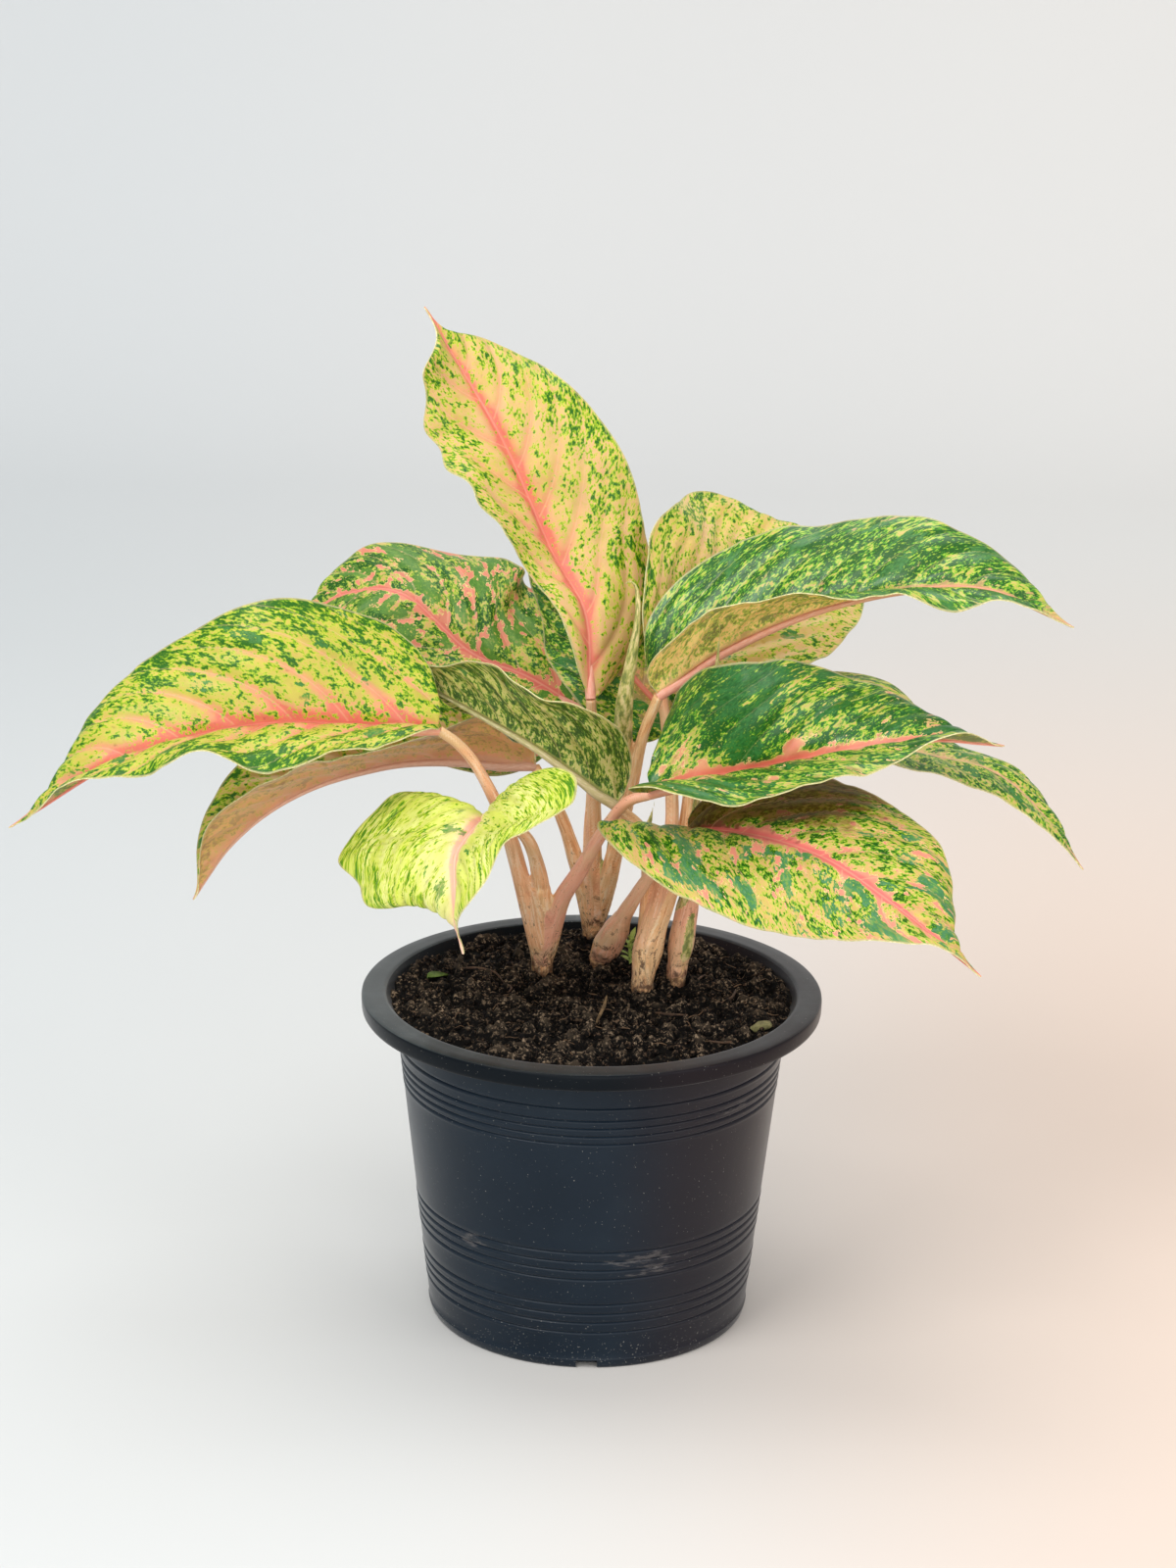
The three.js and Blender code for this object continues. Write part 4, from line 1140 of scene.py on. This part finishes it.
def make_soil():
    share = np.linspace(0.004, 1, SOIL_RINGS)[:, None]
    distance = SOIL_EDGE_RADIUS * share
    x, y = distance * np.cos(circle(SOIL_SIDES)), distance * np.sin(circle(SOIL_SIDES))
    relief = sum(lift * (2 * np.abs(lattice_noise(across, seed, x, y) - 0.5) - 0.35)
                 for across, lift, seed in SOIL_GRAIN)
    surface = stacked(x, y, soil_height(x, y) + relief * (1 - 0.7 * smooth_between(0.95, 1, share)))
    skirt = surface[-SOIL_SIDES:] * (0.96, 0.96, 1) - (0, 0, SKIRT_DEPTH)
    faces = grid_faces(SOIL_RINGS + 1, SOIL_SIDES, around=True, flip=True)
    faces.append(tuple(range(SOIL_SIDES)))
    # The skirt gets a relief of -2, so the soil material paints it in full shade
    relief = np.concatenate([relief.ravel(), np.full(SOIL_SIDES, -2.0)])
    soil = add_piece("soil_bed", np.concatenate([surface, skirt]), faces,
                     [soil_material("soil_bed", "#050302", "#94806a")],
                     attributes={"relief": stacked(relief, relief, relief)}, sharp=180)
    declare(soil, "soil")


def free_place(rng, clearance):
    """A random place on the soil that keeps clear of the shoots and the pot's wall."""
    while True:
        x, y = rng.uniform(-86, 86, 2)
        clear = all(math.hypot(x - foot_x, y - foot_y) > radius + clearance
                    for foot_x, foot_y, radius in SHOOT_FEET)
        if clear and math.hypot(x, y) <= LITTER_RADIUS - clearance:
            return x, y


def ball():
    """Corners and faces of a small round lump, a cube cut once and rounded."""
    points = []
    faces = []
    for axis in range(3):
        for sign in (-1, 1):
            faces += grid_faces(3, 3, start=len(points), flip=sign > 0)
            corners = [np.roll((sign, a, b), axis) for a in (-1, 0, 1) for b in (-1, 0, 1)]
            points += [corner / np.linalg.norm(corner) for corner in corners]
    return np.array(points), faces


def lumpy(points, shift, cell, seed):
    """The points of a ball, pushed in and out."""
    return points * (1 + 0.5 * (lattice_noise(cell, seed, *(points + shift).T) - 0.5))[:, None]


def make_crumbs(rng):
    ball_points, ball_faces = ball()
    crumbs = Batch()
    for _ in range(CRUMBS):
        size = CRUMB_LEAST + CRUMB_SPREAD * rng.random() ** 4
        x, y = free_place(rng, 1 + size)
        squash = rng.uniform(0.6, 1.2, 3) * size
        lump = lumpy(ball_points, rng.uniform(0, 50), 0.7, 9) * squash
        axes = turned_axes(rng.uniform(0, FULL_TURN))
        crumbs.add(lump @ axes + on_soil(x, y, 0.35 * size), ball_faces)
    litter("soil_crumbs", *crumbs.mesh(), [soil_material("soil_crumbs", "#080504", "#6a5644")],
           attributes={"relief": np.full((crumbs.count, 3), LITTER_RELIEF)})


def make_fibres(rng):
    fibres = Batch()
    for i in range(FIBRES):
        long = rng.uniform(*FIBRE_LENGTHS)
        middle = np.array(free_place(rng, 5))
        heading = rng.uniform(0, math.pi)
        bend = rng.uniform(-0.6, 0.6)
        route = []
        for share in np.linspace(-0.5, 0.5, 5):
            place = middle + long * share * turned_axes(heading + bend * share)[0, :2]
            place = place * min(1, FIBRE_REACH / max(math.hypot(*place), 1))
            route.append(on_soil(*place, rng.uniform(-0.2, 1.1)))
        radius = rng.uniform(*FIBRE_RADII)
        points, faces, _ = tube(route, (radius * 0.6, radius, radius * 0.5), 5, 7)
        fibres.add(points, faces, slot=int(i % 3 == 0))
    materials = [soil_material("soil_fibres", "#140e0b", "#4e3c2e"),
                 plain_material("soil_straw", 200.0, (0.3, "#4a3828"), (0.7, "#7a6048"))]
    litter("soil_fibres", *fibres.mesh(), materials, slots=fibres.slots,
           attributes={"relief": np.full((fibres.count, 3), LITTER_RELIEF)})


# Weed seedling and litter

WEED_AT = (17, 33)
WEED_LEAVES = 13
ROOTLET_ROUTES = (
    [(-60, 27), (-52, 24), (-43, 19), (-38, 10)],
    [(-38, 10), (-35, 4), (-36, -2)],
    [(27, -20), (33, -26), (41, -31)],
    [(44, 8), (47, 15), (50, 22)],
    [(62, -52), (56, -55), (49, -57)],
    [(56, -10), (61, -4), (63, 5)],
)


def leaflet(base, heading, slope, long, wide, rows=7):
    """A thin narrow leaflet that arches out from its base, as points and faces."""
    s = np.linspace(0, 1, rows)[:, None]
    half_width = wide * np.maximum(0.08, np.sin(math.pi * s ** 0.75)) * 0.5
    across = np.array([-1, 0, 1])
    lift = long * (math.tan(slope) * s - 0.35 * s * s) + 0.18 * wide * np.abs(across)
    upper = stacked(long * s, across * half_width, lift) @ turned_axes(heading) + base
    faces = sum(sheet_faces(rows, 3, flip=True), [])
    return np.concatenate([upper, upper - (0, 0, 0.22)]), faces


def make_weed():
    x, y = WEED_AT
    rng = np.random.default_rng(SEED + 90)
    weed = Batch()
    stem = [(x, y, 140), (x + 0.4, y - 0.3, 146), (x - 0.3, y, 152), (x + 0.2, y, 158)]
    weed.add(*tube(stem, (0.9, 0.8, 0.6, 0.4), 10, 24)[:2])
    for i in range(WEED_LEAVES):
        share = i / (WEED_LEAVES - 1)
        weed.add(*leaflet((x, y, 147 + 11 * share), 2.4 * i + rng.uniform(-0.2, 0.2),
                          math.radians(25 + 30 * share), 6.6 - 2.6 * abs(share - 0.4), 2.4))
    stops = ((0.3, "#86a04c"), (0.6, "#b4c66a"), (0.8, "#d2d892"))
    green = plain_material("weed_green", 220.0, *stops, roughness=0.6)
    declare(add_piece("weed_sprout", *weed.mesh(), [green], sharp=180), "weed_seedling")


def make_litter():
    dry = plain_material("dry_wood", 250.0, (0.3, "#4a3a28"), (0.55, "#7c6648"), (0.8, "#a89070"))
    root = plain_material("old_root", 300.0, (0.3, "#2f231b"), (0.6, "#5c4636"), (0.8, "#8a6c55"))
    green = plain_material("leaf_scrap", 220.0, (0.35, "#39511f"), (0.65, "#6a8238"), (0.8, "#a3b07a"))
    stone = plain_material("pebble", 300.0, (0.3, "#5d5a3c"), (0.55, "#8b8659"), (0.75, "#b5ac84"))
    twig = [on_soil(6.5, -17, 4.0), on_soil(5.4, -24, 3.0), on_soil(3.0, -33, 1.4), on_soil(2.0, -39, 0.4)]
    litter("twig", *tube(twig, (0.4, 0.75, 0.7, 0.4), 10, 24)[:2], [dry])
    rootlets = Batch()
    for route in ROOTLET_ROUTES:
        line = [on_soil(*place, lift) for place, lift in zip(route, (0.4, 1.6, 1.8, 0.3))]
        rootlets.add(*tube(line, (0.35, 0.6, 0.5, 0.25), 8, 24)[:2])
    litter("rootlets", *rootlets.mesh(), [root])
    litter("leaf_scrap", *leaflet(on_soil(-72, 12, 1.2), math.radians(35), 0.25, 11, 7, 9), [green])
    points, faces = ball()
    pebble = lumpy(points, 0, 0.6, 3) * (6.2, 2.8, 2.0) @ turned_axes(math.radians(28))
    litter("pebble", pebble + on_soil(72, -38, 0.2), faces, [stone])


# Camera, light and stage, in metres and degrees

SENSOR_HEIGHT = 36
LENS = 78.75
CAMERA_PLACE = (-0.0028, -1.4, 0.67)
CAMERA_PITCH = 90 - 17.07
CAMERA_ROLL = 0.8
# Each lamp: its place, the place it looks at, its size, power and colour
LAMPS = {
    "key": ((-1.3, -1.5, 2.1), (0, 0, 0.25), 1.6, 40, (1.0, 0.99, 0.97)),
    "fill": ((1.6, -1.2, 1.2), (0, 0, 0.2), 1.6, 14, (1.0, 0.97, 0.94)),
    "top": ((0, 0.6, 2.4), (0, 0, 0.2), 1.8, 23, (0.97, 0.99, 1.0)),
    "front": ((0.1, -2.4, 0.8), (0, 0, 0.2), 2.0, 22, (1.0, 0.98, 0.95)),
}
WORLD_COLOUR = (0.96, 0.975, 1.0, 1.0)
WORLD_STRENGTH = 0.54
STAGE_HALF_WIDTH = 3.5
STAGE_NEAR = -2.5
STAGE_BEND = 1.7
STAGE_BEND_RADIUS = 0.8
STAGE_TOP = 3.5


def place_camera():
    data = bpy.data.cameras.new("camera")
    data.sensor_fit = "VERTICAL"
    data.sensor_height = SENSOR_HEIGHT
    data.lens = LENS
    data.clip_end = 20
    camera = link("camera", data)
    camera.location = CAMERA_PLACE
    camera.rotation_mode = "XYZ"
    camera.rotation_euler = (math.radians(CAMERA_PITCH), 0, 0)
    camera.rotation_euler.rotate_axis("Z", math.radians(CAMERA_ROLL))
    bpy.context.scene.camera = camera


def place_lamps():
    for name, (place, target, size, power, colour) in LAMPS.items():
        data = bpy.data.lights.new(name, "AREA")
        data.shape = "DISK"
        data.size = size
        data.energy = power
        data.color = colour
        lamp = link(name, data)
        lamp.location = place
        lamp.rotation_euler = (Vector(target) - Vector(place)).to_track_quat("-Z", "Y").to_euler()
    world = bpy.data.worlds.new("world")
    world.use_nodes = True
    background = world.node_tree.nodes["Background"].inputs
    background["Color"].default_value = WORLD_COLOUR
    background["Strength"].default_value = WORLD_STRENGTH
    bpy.context.scene.world = world
    bpy.context.scene.view_settings.view_transform = "Standard"


def make_stage():
    """A pale floor that curves up into a wall behind, with painted light on it: cooler on the left, warmer and
    pinker on the right towards the front, and brighter up the wall.
    """
    turns = np.radians(np.linspace(0, 90, 13))
    profile = [(STAGE_NEAR, 0.0)]
    profile += [(STAGE_BEND + STAGE_BEND_RADIUS * math.sin(turn), STAGE_BEND_RADIUS * (1 - math.cos(turn)))
                for turn in turns]
    profile.append((STAGE_BEND + STAGE_BEND_RADIUS, STAGE_TOP))
    vertices = np.array([(x, y, z) for y, z in profile for x in (-STAGE_HALF_WIDTH, STAGE_HALF_WIDTH)])
    faces = [(2 * i, 2 * i + 1, 2 * i + 3, 2 * i + 2) for i in range(len(profile) - 1)]
    paper = Shader("stage_paper")
    x, y, _ = paper.place().parts()
    # Painted light: a cool cast on the left, a warm pink cast on the right towards the front, and a brighter
    # wall
    paper.colour = paper.mix(x.smooth(0.0, 0.7), "#d5d5d3", "#dedcd8")
    paper.coat(x.smooth(0.1, -0.6), "#cdd1d2")
    paper.coat(x.smooth(-0.1, 0.32) * y.smooth(1.6, 0.2), "#dfccbe")
    paper.coat(0.27 * y.smooth(1.0, 2.3), "#ffffff")
    add_piece("stage_floor", vertices / MM, faces, [paper.finish(0.9, 0.1)])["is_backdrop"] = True


margin = margin_material()
for index, (name, shape) in enumerate(BLADES.items()):
    make_blade(name, shape, index)
make_pot()
make_soil()
soil_rng = np.random.default_rng(SEED)
make_crumbs(soil_rng)
make_fibres(soil_rng)
for index, (name, shoot) in enumerate(SHOOTS.items()):
    make_shoot(name, shoot, index)
make_weed()
make_litter()
place_camera()
make_stage()
place_lamps()

lists = {key: [list(corner) for corner in box] for key, box in (("cad", cad_box), ("visual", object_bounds()))}
